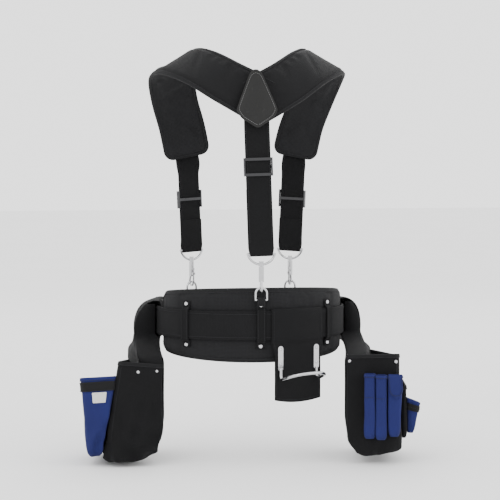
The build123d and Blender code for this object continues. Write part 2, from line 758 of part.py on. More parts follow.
TUBE_OUTLINE = [(290.6, -133), (314, -141), (302, -198), (291.5, -198)]
pieces["right_tube_pocket"] = open_pocket(RIGHT_POUCH, TUBE_OUTLINE, 66, 40, 1.5)


def tool_sleeve(low_out, high_out, top, bottom, depth_top, depth_bottom):
    """A tool sleeve on the rear side of the right pouch, open at the top."""
    base = POUCH_REAR + 0.3
    with BuildPart() as sleeve:
        facing, behind, _ = RIGHT_POUCH
        for height, depth in ((top, depth_top), (bottom, depth_bottom)):
            corner = heading(facing) * low_out + heading(behind) * base + Vector(0, 0, height)
            with BuildSketch(Plane(origin=corner, x_dir=heading(facing), z_dir=(0, 0, -1))):
                Rectangle(high_out - low_out, depth, align=(Align.MIN, Align.MIN))
        loft()
        offset(amount=-1.5, openings=sleeve.faces().sort_by(Axis.Z)[-1])
    return sleeve


with BuildPart() as right_tool_sleeves:
    add(tool_sleeve(213, 233, -88, -204, 20, 11).part)
    add(tool_sleeve(233.2, 253, -90, -206, 20, 11).part)
pieces["right_tool_sleeves"] = right_tool_sleeves
pieces["right_corner_pocket"] = tool_sleeve(254, 280, -92, -200, 16, 9)

with BuildPart() as left_pouch_rivets:
    add(rivet(rear_plane(LEFT_POUCH, 217, POUCH_REAR + 0.1, -83), 3.0))
    add(rivet(rear_plane(LEFT_POUCH, 184, POUCH_REAR + 0.1, -82), 3.0))
pieces["left_pouch_rivets"] = left_pouch_rivets

with BuildPart() as right_pouch_rivets:
    add(rivet(rear_plane(RIGHT_POUCH, 186, POUCH_REAR + 0.1, -66), 3.0))
    add(rivet(rear_plane(RIGHT_POUCH, 268, POUCH_REAR + 0.1, -66), 3.0))
pieces["right_pouch_rivets"] = right_pouch_rivets


for name, piece in pieces.items():
    piece.part.label = name
    export_step(piece.part, f"parts/{name}.step")
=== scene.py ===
"""The carpenter's tool belt with suspenders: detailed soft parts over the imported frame.

Helper lengths are in millimetres in the frame of the CAD; meshes are made in metres.
"""

from bisect import bisect_right
from math import cos, degrees, pi, radians, sin, sqrt

import bmesh
import bpy
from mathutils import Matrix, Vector, noise


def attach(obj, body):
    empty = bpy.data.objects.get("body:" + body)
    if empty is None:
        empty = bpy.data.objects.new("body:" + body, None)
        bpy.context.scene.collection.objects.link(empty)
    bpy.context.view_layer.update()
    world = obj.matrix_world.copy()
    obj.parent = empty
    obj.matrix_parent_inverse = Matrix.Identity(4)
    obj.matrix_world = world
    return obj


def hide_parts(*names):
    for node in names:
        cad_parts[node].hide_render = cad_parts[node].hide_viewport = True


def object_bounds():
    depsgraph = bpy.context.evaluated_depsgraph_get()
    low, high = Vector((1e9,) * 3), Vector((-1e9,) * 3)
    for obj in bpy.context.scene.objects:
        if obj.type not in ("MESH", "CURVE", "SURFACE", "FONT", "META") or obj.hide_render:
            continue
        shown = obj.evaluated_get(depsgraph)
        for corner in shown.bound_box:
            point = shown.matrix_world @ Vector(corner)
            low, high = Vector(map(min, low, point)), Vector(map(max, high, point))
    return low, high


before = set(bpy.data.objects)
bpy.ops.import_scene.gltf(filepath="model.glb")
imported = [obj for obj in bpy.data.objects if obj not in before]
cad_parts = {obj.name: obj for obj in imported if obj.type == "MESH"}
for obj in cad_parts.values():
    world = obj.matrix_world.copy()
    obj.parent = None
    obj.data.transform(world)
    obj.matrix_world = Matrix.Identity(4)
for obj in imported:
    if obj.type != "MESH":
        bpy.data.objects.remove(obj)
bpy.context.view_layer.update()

MM = 0.001
UP = Vector((0, 0, 1))

# The waist oval of four arcs, as in the CAD. The arcs meet at JOIN degrees from the sideways line.
SIDE_CENTRE = 50.0
SIDE_RADIUS = 100.0
END_CENTRE = 60.444
END_RADIUS = 178.444
JOIN = 50.402


# ---------------------------------------------------------------- geometry helpers
def heading(angle):
    return Vector((cos(radians(angle)), sin(radians(angle)), 0))


def waist(angle, gap, height=0.0):
    """The point whose outward direction has this angle, at this gap from the waist."""
    turn = angle % 360
    centre = Vector((0, END_CENTRE, height))
    radius = END_RADIUS
    if turn <= JOIN or turn >= 360 - JOIN:
        centre, radius = Vector((SIDE_CENTRE, 0, height)), SIDE_RADIUS
    elif turn < 180 - JOIN:
        centre = Vector((0, -END_CENTRE, height))
    elif turn <= 180 + JOIN:
        centre, radius = Vector((-SIDE_CENTRE, 0, height)), SIDE_RADIUS
    return centre + heading(angle) * (radius + gap)


def smooth(t):
    t = min(max(t, 0.0), 1.0)
    return t * t * (3 - 2 * t)


def mix(a, b, t):
    return a + (b - a) * t


def spread(start, end, count):
    return [mix(start, end, i / (count - 1)) for i in range(count)]


def soften(points, times=3):
    """The path with its corners cut."""
    points = [Vector(p) for p in points]
    for _ in range(times):
        cut = [points[0]]
        for a, b in zip(points, points[1:]):
            cut += [a.lerp(b, 0.25), a.lerp(b, 0.75)]
        points = cut + [points[-1]]
    return points


def marks_of(points):
    marks = [0.0]
    for a, b in zip(points, points[1:]):
        marks.append(marks[-1] + (b - a).length)
    return marks


def through(values, t):
    """A smooth curve through the values, at station number t."""
    i = min(max(int(t), 0), len(values) - 2)
    t -= i
    a, b, c, d = (values[min(max(n, 0), len(values) - 1)] for n in range(i - 1, i + 3))
    bend = (a * 2 - b * 5 + c * 4 - d) * (0.5 * t * t)
    return b + (c - a) * (0.5 * t) + bend + (b * 3 - a - c * 3 + d) * (0.5 * t**3)


def at_mark(values, marks, s):
    """The value at this distance along a path."""
    i = min(max(bisect_right(marks, s) - 1, 0), len(values) - 2)
    return values[i].lerp(values[i + 1], (s - marks[i]) / max(marks[i + 1] - marks[i], 1e-6))


def strip(points, across):
    """The surface of a strip along a path: a is how far across it, s how far along it."""
    marks = marks_of(points)
    sides = across if isinstance(across, list) else [across] * len(points)

    def surface(a, s):
        return at_mark(points, marks, s) + at_mark(sides, marks, s) * a

    return surface, marks[-1]


def normal_at(surface, a, s, step=0.6, flip=False):
    across = surface(a + step, s) - surface(a - step, s)
    along = surface(a, s + step) - surface(a, s - step)
    normal = across.cross(along).normalized()
    return -normal if flip else normal


# ---------------------------------------------------------------- mesh helpers
def link(name, data):
    """A new object in the scene."""
    made = bpy.data.objects.new(name, data)
    bpy.context.scene.collection.objects.link(made)
    return made


def new_object(name, verts, faces, uvs, materials, groups=None):
    mesh = bpy.data.meshes.new(name)
    mesh.from_pydata([Vector(v) * MM for v in verts], [], faces)
    layer = mesh.uv_layers.new(name="weave")
    flat = [value for corner in uvs for value in corner]
    layer.data.foreach_set("uv", flat)
    for material in materials:
        mesh.materials.append(material)
    if groups:
        mesh.polygons.foreach_set("material_index", groups)
    mesh.polygons.foreach_set("use_smooth", [True] * len(mesh.polygons))
    mesh.update()
    return link(name, mesh)


def bake(piece):
    """Turn a piece's modifiers into its mesh."""
    bpy.context.view_layer.update()
    graph = bpy.context.evaluated_depsgraph_get()
    mesh = bpy.data.meshes.new_from_object(piece.evaluated_get(graph))
    piece.modifiers.clear()
    piece.data = mesh
    return piece


def round_off(piece, boundary="ALL"):
    rounder = piece.modifiers.new("rounding", "SUBSURF")
    rounder.levels = rounder.render_levels = 1
    rounder.boundary_smooth = boundary
    return bake(piece)


def turn_out(piece, weld=0.0):
    """Face the mesh outward, with points nearer than weld metres joined first."""
    fix = bmesh.new()
    fix.from_mesh(piece.data)
    if weld:
        bmesh.ops.remove_doubles(fix, verts=fix.verts, dist=weld)
    bmesh.ops.recalc_face_normals(fix, faces=fix.faces)
    fix.to_mesh(piece.data)
    fix.free()


def ripple(piece, depth, rate, seed=0.0):
    """Push the surface in and out by soft noise: rate is waves a metre in x, y and z."""
    shift = Vector((seed, seed * 0.7, -seed))
    normals = [v.normal.copy() for v in piece.data.vertices]
    for v, normal in zip(piece.data.vertices, normals):
        spot = Vector((v.co.x * rate[0], v.co.y * rate[1], v.co.z * rate[2])) + shift
        v.co += normal * (depth * MM * noise.noise(spot))


def sheet(name, surface, across, along, material, thickness, closed=False, side=0.0, skip=None, cap=False,
          flip=False, waves=None):
    """A sheet through surface(a, s) with its thickness, and its weave coordinates in metres."""
    rows = [[surface(a, s) for a in across] for s in along]
    count = len(across)
    middle = rows[len(rows) // 2]
    loop = middle + [middle[0]] if closed else middle
    u = [value * MM for value in marks_of(loop)]
    v = [value * MM for value in marks_of([row[count // 2] for row in rows])]
    verts = [point for row in rows for point in row]
    faces, uvs = [], []
    for i in range(len(rows) - 1):
        for j in range(count if closed else count - 1):
            k = (j + 1) % count
            face = [i * count + j, i * count + k, (i + 1) * count + k, (i + 1) * count + j]
            if skip and skip(sum((verts[n] for n in face), Vector()) / 4):
                continue
            corners = [(u[j], v[i]), (u[j + 1], v[i]), (u[j + 1], v[i + 1]), (u[j], v[i + 1])]
            faces.append(face[::-1] if flip else face)
            uvs += corners[::-1] if flip else corners
    if cap:
        last = [(len(rows) - 1) * count + j for j in range(count)]
        faces.append(last[::-1] if flip else last)
        uvs += [(0.0, v[-1])] * count
    piece = new_object(name, verts, faces, uvs, [material])
    if waves:
        ripple(piece, *waves)
    shell = piece.modifiers.new("thickness", "SOLIDIFY")
    shell.thickness = thickness * MM
    shell.offset = side
    return round_off(piece, "PRESERVE_CORNERS")


def fit(piece, body, slot, *nodes):
    """Hang the piece on its body, in place of the CAD nodes it stands for."""
    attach(piece, body)
    if nodes:
        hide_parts(*nodes)
    return piece


seams = {}


def sew(body, points, normals, pitch=3.4, radius=0.38, lift=0.15, colour="thread"):
    """Lay separate stitches along a path, to be made with the others of their body."""
    marks = marks_of(points)
    path, _ = strip(points, normals)
    spot = 0.5
    while spot + pitch * 0.72 < marks[-1]:
        start = path(lift, spot)
        end = path(lift, spot + pitch * 0.72)
        out = (path(1, spot) - path(0, spot)).normalized()
        seams.setdefault((body, colour), []).append((start, end, out, radius))
        spot += pitch


def sew_on(body, surface, spots, flip=False, lift=0.15, **choices):
    points = [surface(a, s) for a, s in spots]
    normals = [normal_at(surface, a, s, flip=flip) for a, s in spots]
    sew(body, [p + n * lift for p, n in zip(points, normals)], normals, **choices)


def sew_lines(body, surface, off, stops, **choices):
    """Two seams this far from the middle, on both faces."""
    for across in (-off, off):
        for flip in (False, True):
            sew_on(body, surface, [(across, s) for s in stops], flip=flip, **choices)


def make_stitches(body, colour, rows, material):
    verts, faces, uvs = [], [], []
    for start, end, out, radius in rows:
        along = (end - start).normalized()
        side = along.cross(out).normalized()
        base = len(verts)
        for t, share in ((0.0, 0.3), (0.22, 1.0), (0.78, 1.0), (1.0, 0.3)):
            centre = start.lerp(end, t) + out * (radius * (share - 0.6))
            for k in range(6):
                turn = k * pi / 3
                verts.append(centre + (side * cos(turn) * 1.2 + out * sin(turn)) * radius * share)
        for ring in range(3):
            for k in range(6):
                a = base + ring * 6 + k
                b = base + ring * 6 + (k + 1) % 6
                faces.append([a, b, b + 6, a + 6])
                uvs += [(k / 6, ring), ((k + 1) / 6, ring), ((k + 1) / 6, ring + 1), (k / 6, ring + 1)]
        for ring in (0, 3):
            faces.append([base + ring * 6 + k for k in range(6)])
            uvs += [(0, 0)] * 6
    piece = new_object(f"{colour}_stitches_{body}", verts, faces, uvs, [material])
    turn_out(piece)
    fit(piece, body, "pad_fabric")


# ---------------------------------------------------------------- finishes
class Finish:
    """A node material put together one node at a time."""

    def __init__(self, name):
        self.material = bpy.data.materials.new(name)
        self.material.use_nodes = True
        self.tree = self.material.node_tree
        self.shader = self.tree.nodes["Principled BSDF"]

    def put(self, socket, value):
        if isinstance(value, bpy.types.NodeSocket):
            self.tree.links.new(value, socket)
        else:
            socket.default_value = value

    def node(self, kind, settings=None, **inputs):
        made = self.tree.nodes.new(kind)
        for key, value in (settings or {}).items():
            setattr(made, key, value)
        for key, value in inputs.items():
            self.put(made.inputs[key], value)
        return made

    def fill(self, kind, settings, values, numbers=range(5)):
        """A node with its inputs given by their numbers."""
        made = self.node(kind, settings)
        for number, value in zip(numbers, values):
            self.put(made.inputs[number], value)
        return made.outputs

    def math(self, operation, *values):
        return self.fill("ShaderNodeMath", {"operation": operation}, values)[0]

    def weave_place(self):
        return self.node("ShaderNodeUVMap", {"uv_map": "weave"}).outputs["UV"]

    def solid_place(self):
        return self.node("ShaderNodeTexCoord").outputs["Object"]

    def noise(self, place, scale, detail=3.0, rough=0.55):
        made = self.node("ShaderNodeTexNoise", Vector=place, Scale=scale, Detail=detail, Roughness=rough)
        return made.outputs["Fac"]

    def between(self, fac, a, b):
        return self.fill("ShaderNodeMix", {"data_type": "RGBA"}, (fac, a, b), (0, 6, 7))[2]

    def remap(self, fac, low, high, to_low, to_high):
        return self.fill("ShaderNodeMapRange", None, (fac, low, high, to_low, to_high))[0]

    def weave(self, thread):
        """Height of a plain weave, 0 to 1, with threads this far apart in metres."""
        split = self.node("ShaderNodeSeparateXYZ", Vector=self.weave_place())
        x = self.math("SINE", self.math("MULTIPLY", split.outputs[0], pi / thread[0]))
        y = self.math("SINE", self.math("MULTIPLY", split.outputs[1], pi / thread[1]))
        over = self.math("GREATER_THAN", self.math("MULTIPLY", x, y), 0.0)
        warp = self.math("POWER", self.math("ABSOLUTE", x), self.math("MULTIPLY_ADD", over, -0.6, 1.0))
        weft = self.math("POWER", self.math("ABSOLUTE", y), self.math("MULTIPLY_ADD", over, 0.6, 0.4))
        return self.math("MULTIPLY", warp, weft)

    def bump(self, height, distance, strength=0.7):
        made = self.node("ShaderNodeBump", Height=height, Distance=distance, Strength=strength)
        self.put(self.shader.inputs["Normal"], made.outputs[0])

    def set(self, **values):
        for key, value in values.items():
            self.put(self.shader.inputs[key.replace("_", " ")], value)
        return self.material


def tint(colour, share):
    return (*(min(channel * share, 1.0) for channel in colour), 1.0)


def woven(name, colour, thread, depth, rough=0.8, sheen=0.02, dust=1.5):
    """Cloth with threads, patchy wear and a little lint."""
    f = Finish(name)
    height = f.weave(thread)
    place = f.weave_place()
    cloud = f.noise(place, 14.0, 4.0)
    lint = f.noise(place, 420.0, 2.0)
    base = f.between(height, tint(colour, 0.55), tint(colour, 1.2))
    worn = f.between(f.remap(cloud, 0.45, 0.75, 0.0, 0.55), base, tint(colour, dust))
    fine = f.between(f.remap(lint, 0.62, 0.8, 0.0, 0.35), worn, tint(colour, 2.2))
    relief = f.math("MULTIPLY_ADD", f.noise(place, 60.0, 2.0), 0.8, height)
    f.bump(relief, depth)
    return f.set(
        Base_Color=fine,
        Roughness=f.remap(cloud, 0.3, 0.7, rough - 0.08, rough + 0.08),
        Sheen_Weight=sheen,
        Sheen_Roughness=0.45,
        Specular_IOR_Level=0.12,
    )


def leather(name, colour):
    f = Finish(name)
    place = f.solid_place()
    pebble = f.node("ShaderNodeTexVoronoi", {"feature": "SMOOTH_F1"}, Vector=place, Scale=620.0).outputs[0]
    cloud = f.noise(place, 26.0, 5.0)
    scuff = f.noise(place, 130.0, 4.0, 0.7)
    base = f.between(pebble, tint(colour, 1.15), tint(colour, 0.7))
    worn = f.between(f.remap(cloud, 0.5, 0.72, 0.0, 0.6), base, tint(colour, 1.9))
    scuffed = f.between(f.remap(scuff, 0.62, 0.74, 0.0, 0.5), worn, tint(colour, 3.0))
    f.bump(f.math("MULTIPLY_ADD", scuff, 0.7, f.math("MULTIPLY", pebble, -1.0)), 0.0004, 0.55)
    return f.set(
        Base_Color=scuffed,
        Roughness=f.remap(cloud, 0.3, 0.7, 0.44, 0.62),
        Specular_IOR_Level=0.2,
    )


def metal(name, colour, rough, metallic=1.0, scratch=0.00004):
    f = Finish(name)
    place = f.solid_place()
    smudge = f.noise(place, 90.0, 4.0)
    fine = f.noise(place, 900.0, 3.0, 0.65)
    f.bump(fine, scratch, 0.3)
    return f.set(
        Base_Color=f.between(smudge, tint(colour, 0.86), tint(colour, 1.08)),
        Metallic=metallic,
        Roughness=f.remap(smudge, 0.3, 0.75, rough * 0.7, rough * 1.5),
    )


def open_mesh(name, colour):
    """Spacer fabric with small round holes."""
    f = Finish(name)
    place = f.weave_place()
    cell = f.node("ShaderNodeTexVoronoi", {"feature": "F1"}, Vector=place, Scale=420.0, Randomness=0.15)
    hole = f.remap(cell.outputs[0], 0.18, 0.42, 0.0, 1.0)
    cloud = f.noise(place, 22.0, 3.0)
    base = f.between(hole, tint(colour, 0.3), tint(colour, 1.25))
    f.bump(hole, 0.0006, 0.8)
    return f.set(
        Base_Color=f.between(f.remap(cloud, 0.4, 0.7, 0.0, 0.4), base, tint(colour, 1.7)),
        Roughness=f.remap(cloud, 0.3, 0.7, 0.72, 0.88),
        Sheen_Weight=0.04,
        Specular_IOR_Level=0.12,
    )


BLACK = (0.006, 0.006, 0.0066)
BLUE = (0.0135, 0.0175, 0.09)

canvas = woven("black_canvas", BLACK, (0.0009, 0.0009), 0.00035)
blue_canvas = woven("blue_canvas", BLUE, (0.0009, 0.0009), 0.00035, dust=1.35)
belt_webbing = woven("belt_webbing", (0.007, 0.007, 0.0076), (0.0016, 0.0028), 0.0007)
strap_webbing = woven("strap_webbing", (0.0055, 0.0055, 0.006), (0.0011, 0.0022), 0.0005)
pad_fabric = woven("pad_fabric", BLACK, (0.0006, 0.0006), 0.0002, rough=0.74, sheen=0.04)
binding = woven("binding", (0.0085, 0.0085, 0.0092), (0.0007, 0.0014), 0.0003, rough=0.72, sheen=0.04)
label_satin = woven("label_satin", (0.62, 0.61, 0.58), (0.0004, 0.0006), 0.00012, rough=0.45, dust=1.05)
lining = open_mesh("pad_lining", (0.009, 0.009, 0.0098))
black_leather = leather("leather", (0.0085, 0.0084, 0.0082))
chrome = metal("chrome", (0.5, 0.5, 0.51), 0.16)
black_steel = metal("black_steel", (0.03, 0.03, 0.032), 0.34, 0.6)
thread = woven("thread", (0.022, 0.022, 0.024), (0.5, 0.25), 0.0001)
pale_thread = woven("pale_thread", (0.11, 0.11, 0.11), (0.5, 0.25), 0.0001)


# ---------------------------------------------------------------- stuffed bands
CLOTH = {"quality": 6, "mass": 0.25, "tension_stiffness": 18, "compression_stiffness": 12,
         "shear_stiffness": 8, "bending_stiffness": 0.6, "use_pressure": True,
         "uniform_pressure_force": 4.0, "shrink_min": -0.03, "vertex_group_mass": "held"}
SETTLE_FRAMES = 20


def rounded_half(half, corner, ends, length):
    """Half width of a band with round corners at the ends that are bound."""

    def width(s):
        value = half(s)
        for bound, gap in ((ends[0], s), (ends[1], length - s)):
            if bound and gap < corner:
                value -= corner - sqrt(max(corner**2 - (corner - max(gap, 0)) ** 2, 0))
        return value

    return width


def stuffed_band(name, surface, length, half, full, rim, reach, ends=(True, True)):
    """A stuffed band about the middle surface, and the function for its half thickness."""
    corner = reach + 6
    width = rounded_half(half, corner, ends, length)

    def thick(e):
        return rim / 2 + (full - rim) / 2 * smooth(e / reach)

    def edge(a, s):
        gaps = [width(s) - abs(a)] + [gap for bound, gap in zip(ends, (s, length - s)) if bound]
        return max(min(gaps), 0.0)

    shares = [-1.0, -0.988, -0.955, -0.9] + spread(-0.84, 0.84, 17) + [0.9, 0.955, 0.988, 1.0]
    steps = [0, 0.6, 1.6, 3.2, 5.5, 8.5, 12, 16]
    count = round((length - 40) / 5)
    along = steps + spread(20, length - 20, count) + [length - value for value in reversed(steps)]
    outer, inner = [], []
    for s in along:
        line = [share * width(s) for share in shares]
        normals = [normal_at(surface, a, min(max(s, 1), length - 1)) for a in line]
        rise = [thick(edge(a, s)) for a in line]
        outer.append([surface(a, s) + n * h for a, n, h in zip(line, normals, rise)])
        inner.append([surface(a, s) - n * h for a, n, h in zip(line, normals, rise)])
    rows, count = len(along), len(shares)
    verts = [p for row in outer for p in row] + [p for row in inner for p in row]
    shift = rows * count
    u = [share * half(length / 2) * MM for share in shares]
    v = [s * MM for s in along]
    faces, uvs, groups = [], [], []
    for i in range(rows - 1):
        for j in range(count - 1):
            quad = [(i, j), (i, j + 1), (i + 1, j + 1), (i + 1, j)]
            for side, corners in enumerate((quad, quad[::-1])):
                faces.append([side * shift + a * count + b for a, b in corners])
                uvs += [(u[b], v[a]) for a, b in corners]
                groups.append(side)
    border = [(i, 0) for i in range(rows)] + [(rows - 1, j) for j in range(1, count)]
    border += [(i, count - 1) for i in range(rows - 2, -1, -1)] + [(0, j) for j in range(count - 2, 0, -1)]
    for (a, b), (c, d) in zip(border, border[1:] + border[:1]):
        first, second = a * count + b, c * count + d
        faces.append([first, second, shift + second, shift + first])
        uvs += [(u[b], v[a]), (u[d], v[c]), (u[d], v[c] + 0.004), (u[b], v[a] + 0.004)]
        groups.append(0)
    piece = new_object(name, verts, faces, uvs, [pad_fabric, lining], groups)
    turn_out(piece, weld=0.00001)
    return piece, width, thick


def inflate(piece, held, limit):
    """Let the cover settle under the pressure of its filling, with the held places pinned.

    No point moves further than its limit in millimetres.
    """
    start = [v.co.copy() for v in piece.data.vertices]
    pins = piece.vertex_groups.new(name="held")
    for v in piece.data.vertices:
        pins.add([v.index], held(v.co / MM), "REPLACE")
    cloth = piece.modifiers.new("settle", "CLOTH")
    for key, value in CLOTH.items():
        setattr(cloth.settings, key, value)
    cloth.settings.effector_weights.gravity = 0.0
    cloth.collision_settings.use_collision = False
    cloth.point_cache.frame_start = 1
    cloth.point_cache.frame_end = SETTLE_FRAMES
    scene = bpy.context.scene
    for number in range(1, SETTLE_FRAMES + 1):
        scene.frame_set(number)
    bake(piece)
    scene.frame_set(1)
    piece.vertex_groups.clear()
    for v, before in zip(piece.data.vertices, start):
        move = v.co - before
        most = limit(before / MM) * MM
        if move.length > most:
            v.co = before + move * (most / move.length)


def piping(name, surface, length, width, thick, ends, reach, body):
    """Tape folded over a band's edge all the way round its bound sides, and sewn down."""
    near_end = [0, 0.4, 1, 2, 3.5, 5.5, 8, 11, 15, 19]
    stops = near_end + spread(23, length - 23, 90) + [length - s for s in reversed(near_end)]
    left = [(-width(s), s) for s in stops]
    right = [(-a, s) for a, s in reversed(left)]
    top = [(a, length) for a in spread(-width(length), width(length), 12)[1:-1]]
    bottom = [(a, 0) for a in spread(width(0), -width(0), 12)[1:-1]]
    route = left + top + right + (bottom if ends[0] else [])
    closed = ends[0]
    spots = []
    count = len(route)
    for i, (a, s) in enumerate(route):
        before = route[i - 1] if closed or i else route[0]
        after = route[(i + 1) % count] if closed or i < count - 1 else route[-1]
        da, ds = after[0] - before[0], after[1] - before[1]
        size = max(sqrt(da * da + ds * ds), 1e-6)
        inner = (ds / size, -da / size)
        clamp = min(max(s, 1.0), length - 1.0)
        across = (surface(a + 1, clamp) - surface(a - 1, clamp)).normalized()
        along = (surface(a, clamp + 0.6) - surface(a, clamp - 0.6)).normalized()
        normal = normal_at(surface, a, clamp)
        spots.append((surface(a, s), across * inner[0] + along * inner[1], normal))
    section = [(reach, 0.15), (reach, 0.75), (reach * 0.5, 0.85), (1.2, 0.85), (-0.7, 0.3)]
    section = [(e, lift, 1) for e, lift in section] + [(e, lift, -1) for e, lift in reversed(section)]
    rings = []
    for point, inward, normal in spots:
        rings.append([point + inward * e + normal * (side * (thick(max(e, 0)) * (1 if e > 0 else 0.7) + lift))
                      for e, lift, side in section])
    count = len(section)
    verts = [p for ring in rings for p in ring]
    faces, uvs = [], []
    v = [value * MM for value in marks_of([spot[0] for spot in spots] + ([spots[0][0]] if closed else []))]
    u = [value * MM for value in marks_of(rings[0] + [rings[0][0]])]
    for i in range(len(rings) if closed else len(rings) - 1):
        k = (i + 1) % len(rings)
        for j in range(count - 1):
            faces.append([i * count + j, i * count + j + 1, k * count + j + 1, k * count + j])
            uvs += [(u[j], v[i]), (u[j + 1], v[i]), (u[j + 1], v[i + 1]), (u[j], v[i + 1])]
    tape = new_object(name, verts, faces, uvs, [binding])
    turn_out(tape)
    round_off(tape)
    for side in (1, -1):
        line = [p + i * (reach - 1.4) + n * side * (thick(reach - 1.4) + 0.85) for p, i, n in spots]
        sew(body, line, [n * side for _, _, n in spots])
    return tape


# ---------------------------------------------------------------- back pad
LOOP_ANGLES = {"left": 229.5, "centre": 270.0, "right": 310.5}
PAD_MIDDLE = 7.5
PAD_HALF = 65.5
pad_path = [waist(190 + i * 0.5, PAD_MIDDLE) for i in range(321)]
pad_surface, pad_length = strip(pad_path, UP)


def pad_half(s):
    off = abs(s - pad_length / 2) / (pad_length / 2)
    return PAD_HALF - 12.5 * off**2.2


def pad_held(p):
    """The pad is pinned round its edge and where the belt presses on it."""
    near_edge = abs(p.z) > PAD_HALF - 11 or p.y > -30
    under_belt = abs(p.z) < 29 and p.y < 0
    return 1.0 if near_edge or under_belt else 0.0


def pad_limit(p):
    """The pad hardly moves where a belt loop is riveted to it."""
    for angle in LOOP_ANGLES.values():
        if (waist(angle, 15).xy - p.xy).length < 16 and abs(p.z) < 44:
            return 0.1
    return 1.6


pad_make = (pad_surface, pad_length)
back_pad, pad_width, pad_thick = stuffed_band("back_pad", *pad_make, pad_half, 15.0, 6.5, 11.0)
inflate(back_pad, pad_held, pad_limit)
ripple(back_pad, 0.9, (22, 22, 30), 3.0)
round_off(back_pad)
fit(back_pad, "belt", "pad_fabric", "pad_cover", "pad_foam", "pad_lining")
pad_tape = piping("pad_binding_tape", *pad_make, pad_width, pad_thick, (True, True), 7.5, "belt")
fit(pad_tape, "belt", "binding", "pad_binding")
for line in (PAD_HALF - 18, 18 - PAD_HALF):
    spots = [(line * pad_half(s) / PAD_HALF, s) for s in spread(16, pad_length - 16, 90)]
    sew_on("belt", pad_surface, spots, lift=7.6)


# ---------------------------------------------------------------- belt webbing, loops, keeper, tabs
BAR = Vector((13.6, 137, 0))
belt_path = [waist(73, 14.4), waist(77, 14.4), waist(80, 14.4)]
belt_path += [BAR + Vector((cos(radians(t)), sin(radians(t)), 0)) * 4.6 for t in range(270, 80, -15)]
belt_path += [waist(82, 20.4), waist(80, 19.4)]
belt_path += [waist(78 - i * 1.5, 19) for i in range(228)]
belt_path += [waist(-265, 20.5), waist(-268, 23.5), waist(-271, 26.5), waist(-274, 28)]
belt_path += [waist(-276 - i, 28) for i in range(15)]
belt_surface, belt_length = strip(belt_path, UP)


def tongue_slot(p):
    """The two slots for the tongues, where the belt folds round the buckle's bar."""
    return abs(p.x) < 21.5 and 129 < p.y < 151 and 6.5 < abs(p.z) < 13.5


BELT_ROWS = [-25.4, -24, -20, -13.5, -10, -6.5, -2, 2, 6.5, 10, 13.5, 20, 24, 25.4]
belt_along = spread(0, 60, 31) + spread(64, belt_length - 60, 216) + spread(belt_length - 57, belt_length, 29)
webbing = sheet("belt_band", belt_surface, BELT_ROWS, belt_along, belt_webbing, 3.5, skip=tongue_slot)
fit(webbing, "belt", "belt_webbing", "belt_webbing")
sew_lines("belt", belt_surface, 20.5, spread(60, belt_length - 6, 420), lift=1.9, pitch=3.8)


def strap_piece(name, angle, points, width, thickness, material, body, slot, node, seam):
    """A strap that runs upright at this angle of the waist, through points of (gap, height)."""
    path = soften([waist(angle, gap, z) for gap, z in points], 2)
    surface, length = strip(path, heading(angle + 90))
    half = width / 2
    across = [-half, -half + 0.6, -half * 0.5, 0, half * 0.5, half - 0.6, half]
    piece = sheet(name, surface, across, spread(0, length, max(8, round(length / 2.2))), material, thickness)
    fit(piece, body, slot, node)
    sew_lines(body, surface, seam, spread(3, length - 3, 40), lift=thickness / 2 + 0.05)


LOOP_RUN = [(16.4, 41), (16.4, 33), (16.6, 29.5), (22.2, 27.6), (22.9, 24), (22.9, 0),
            (22.9, -24), (22.2, -27.6), (16.6, -29.5), (16.4, -33), (16.4, -41)]
for side, angle in LOOP_ANGLES.items():
    strap_piece(f"loop_strip_{side}", angle, LOOP_RUN, 15, 2.2, strap_webbing, "belt", "pad_fabric",
                f"belt_loop_{side}", 5.6)

# Each D-ring's tab: its angle, the ring's gap and height, and the height and gap of the tab's foot.
RINGS = {"back": (270.0, 24.0, 46.0, 30.0, 17.7), "left": (117.0, 27.0, 36.0, -20.0, 21.1),
         "right": (63.0, 27.0, 36.0, -20.0, 21.1)}
for side, (angle, gap, height, low, foot) in RINGS.items():
    run = [(foot + 1.5, low), (foot + 1.5, height - 13), (gap + 2.2, height - 5), (gap + 3.4, height),
           (gap + 2.6, height + 3.2), (gap - 0.6, height + 4.2), (gap - 3.4, height + 1.6),
           (gap - 3.4, height - 3), (foot + 0.6, height - 10), (foot + 0.5, low + 3)]
    strap_piece(f"{side}_ring_strip", angle, run, 15, 1.1, binding, "belt", "binding",
                f"{side}_ring_tab", 5.6)

upper = [(15.4, 0), (15.4, 24), (16.4, 27.1), (19, 27.2), (28, 27.2), (30.6, 27.1), (31.5, 24), (31.5, 0)]
keeper_run = upper + [(gap, -z) for gap, z in upper[-2::-1]]
strap_piece("keeper_strip", 77, keeper_run, 12, 1.8, strap_webbing, "keeper", "belt_webbing",
            "belt_keeper", 4.4)


# ---------------------------------------------------------------- suspender webbing
# Where each strap's upper end is, and how far up the strap its slider sits.
ENDS = {"back": Vector((-6, -127, 352)), "left": Vector((-100, 122, 285)), "right": Vector((100, 122, 285))}
SLIDERS = {"back": 152.0, "left": 95.0, "right": 95.0}
STRAP_HALF = 22.5
WIRE_HALF = 19.6
STRAP_NODES = {"back": "back_strap", "left": "left_front_strap", "right": "right_front_strap"}


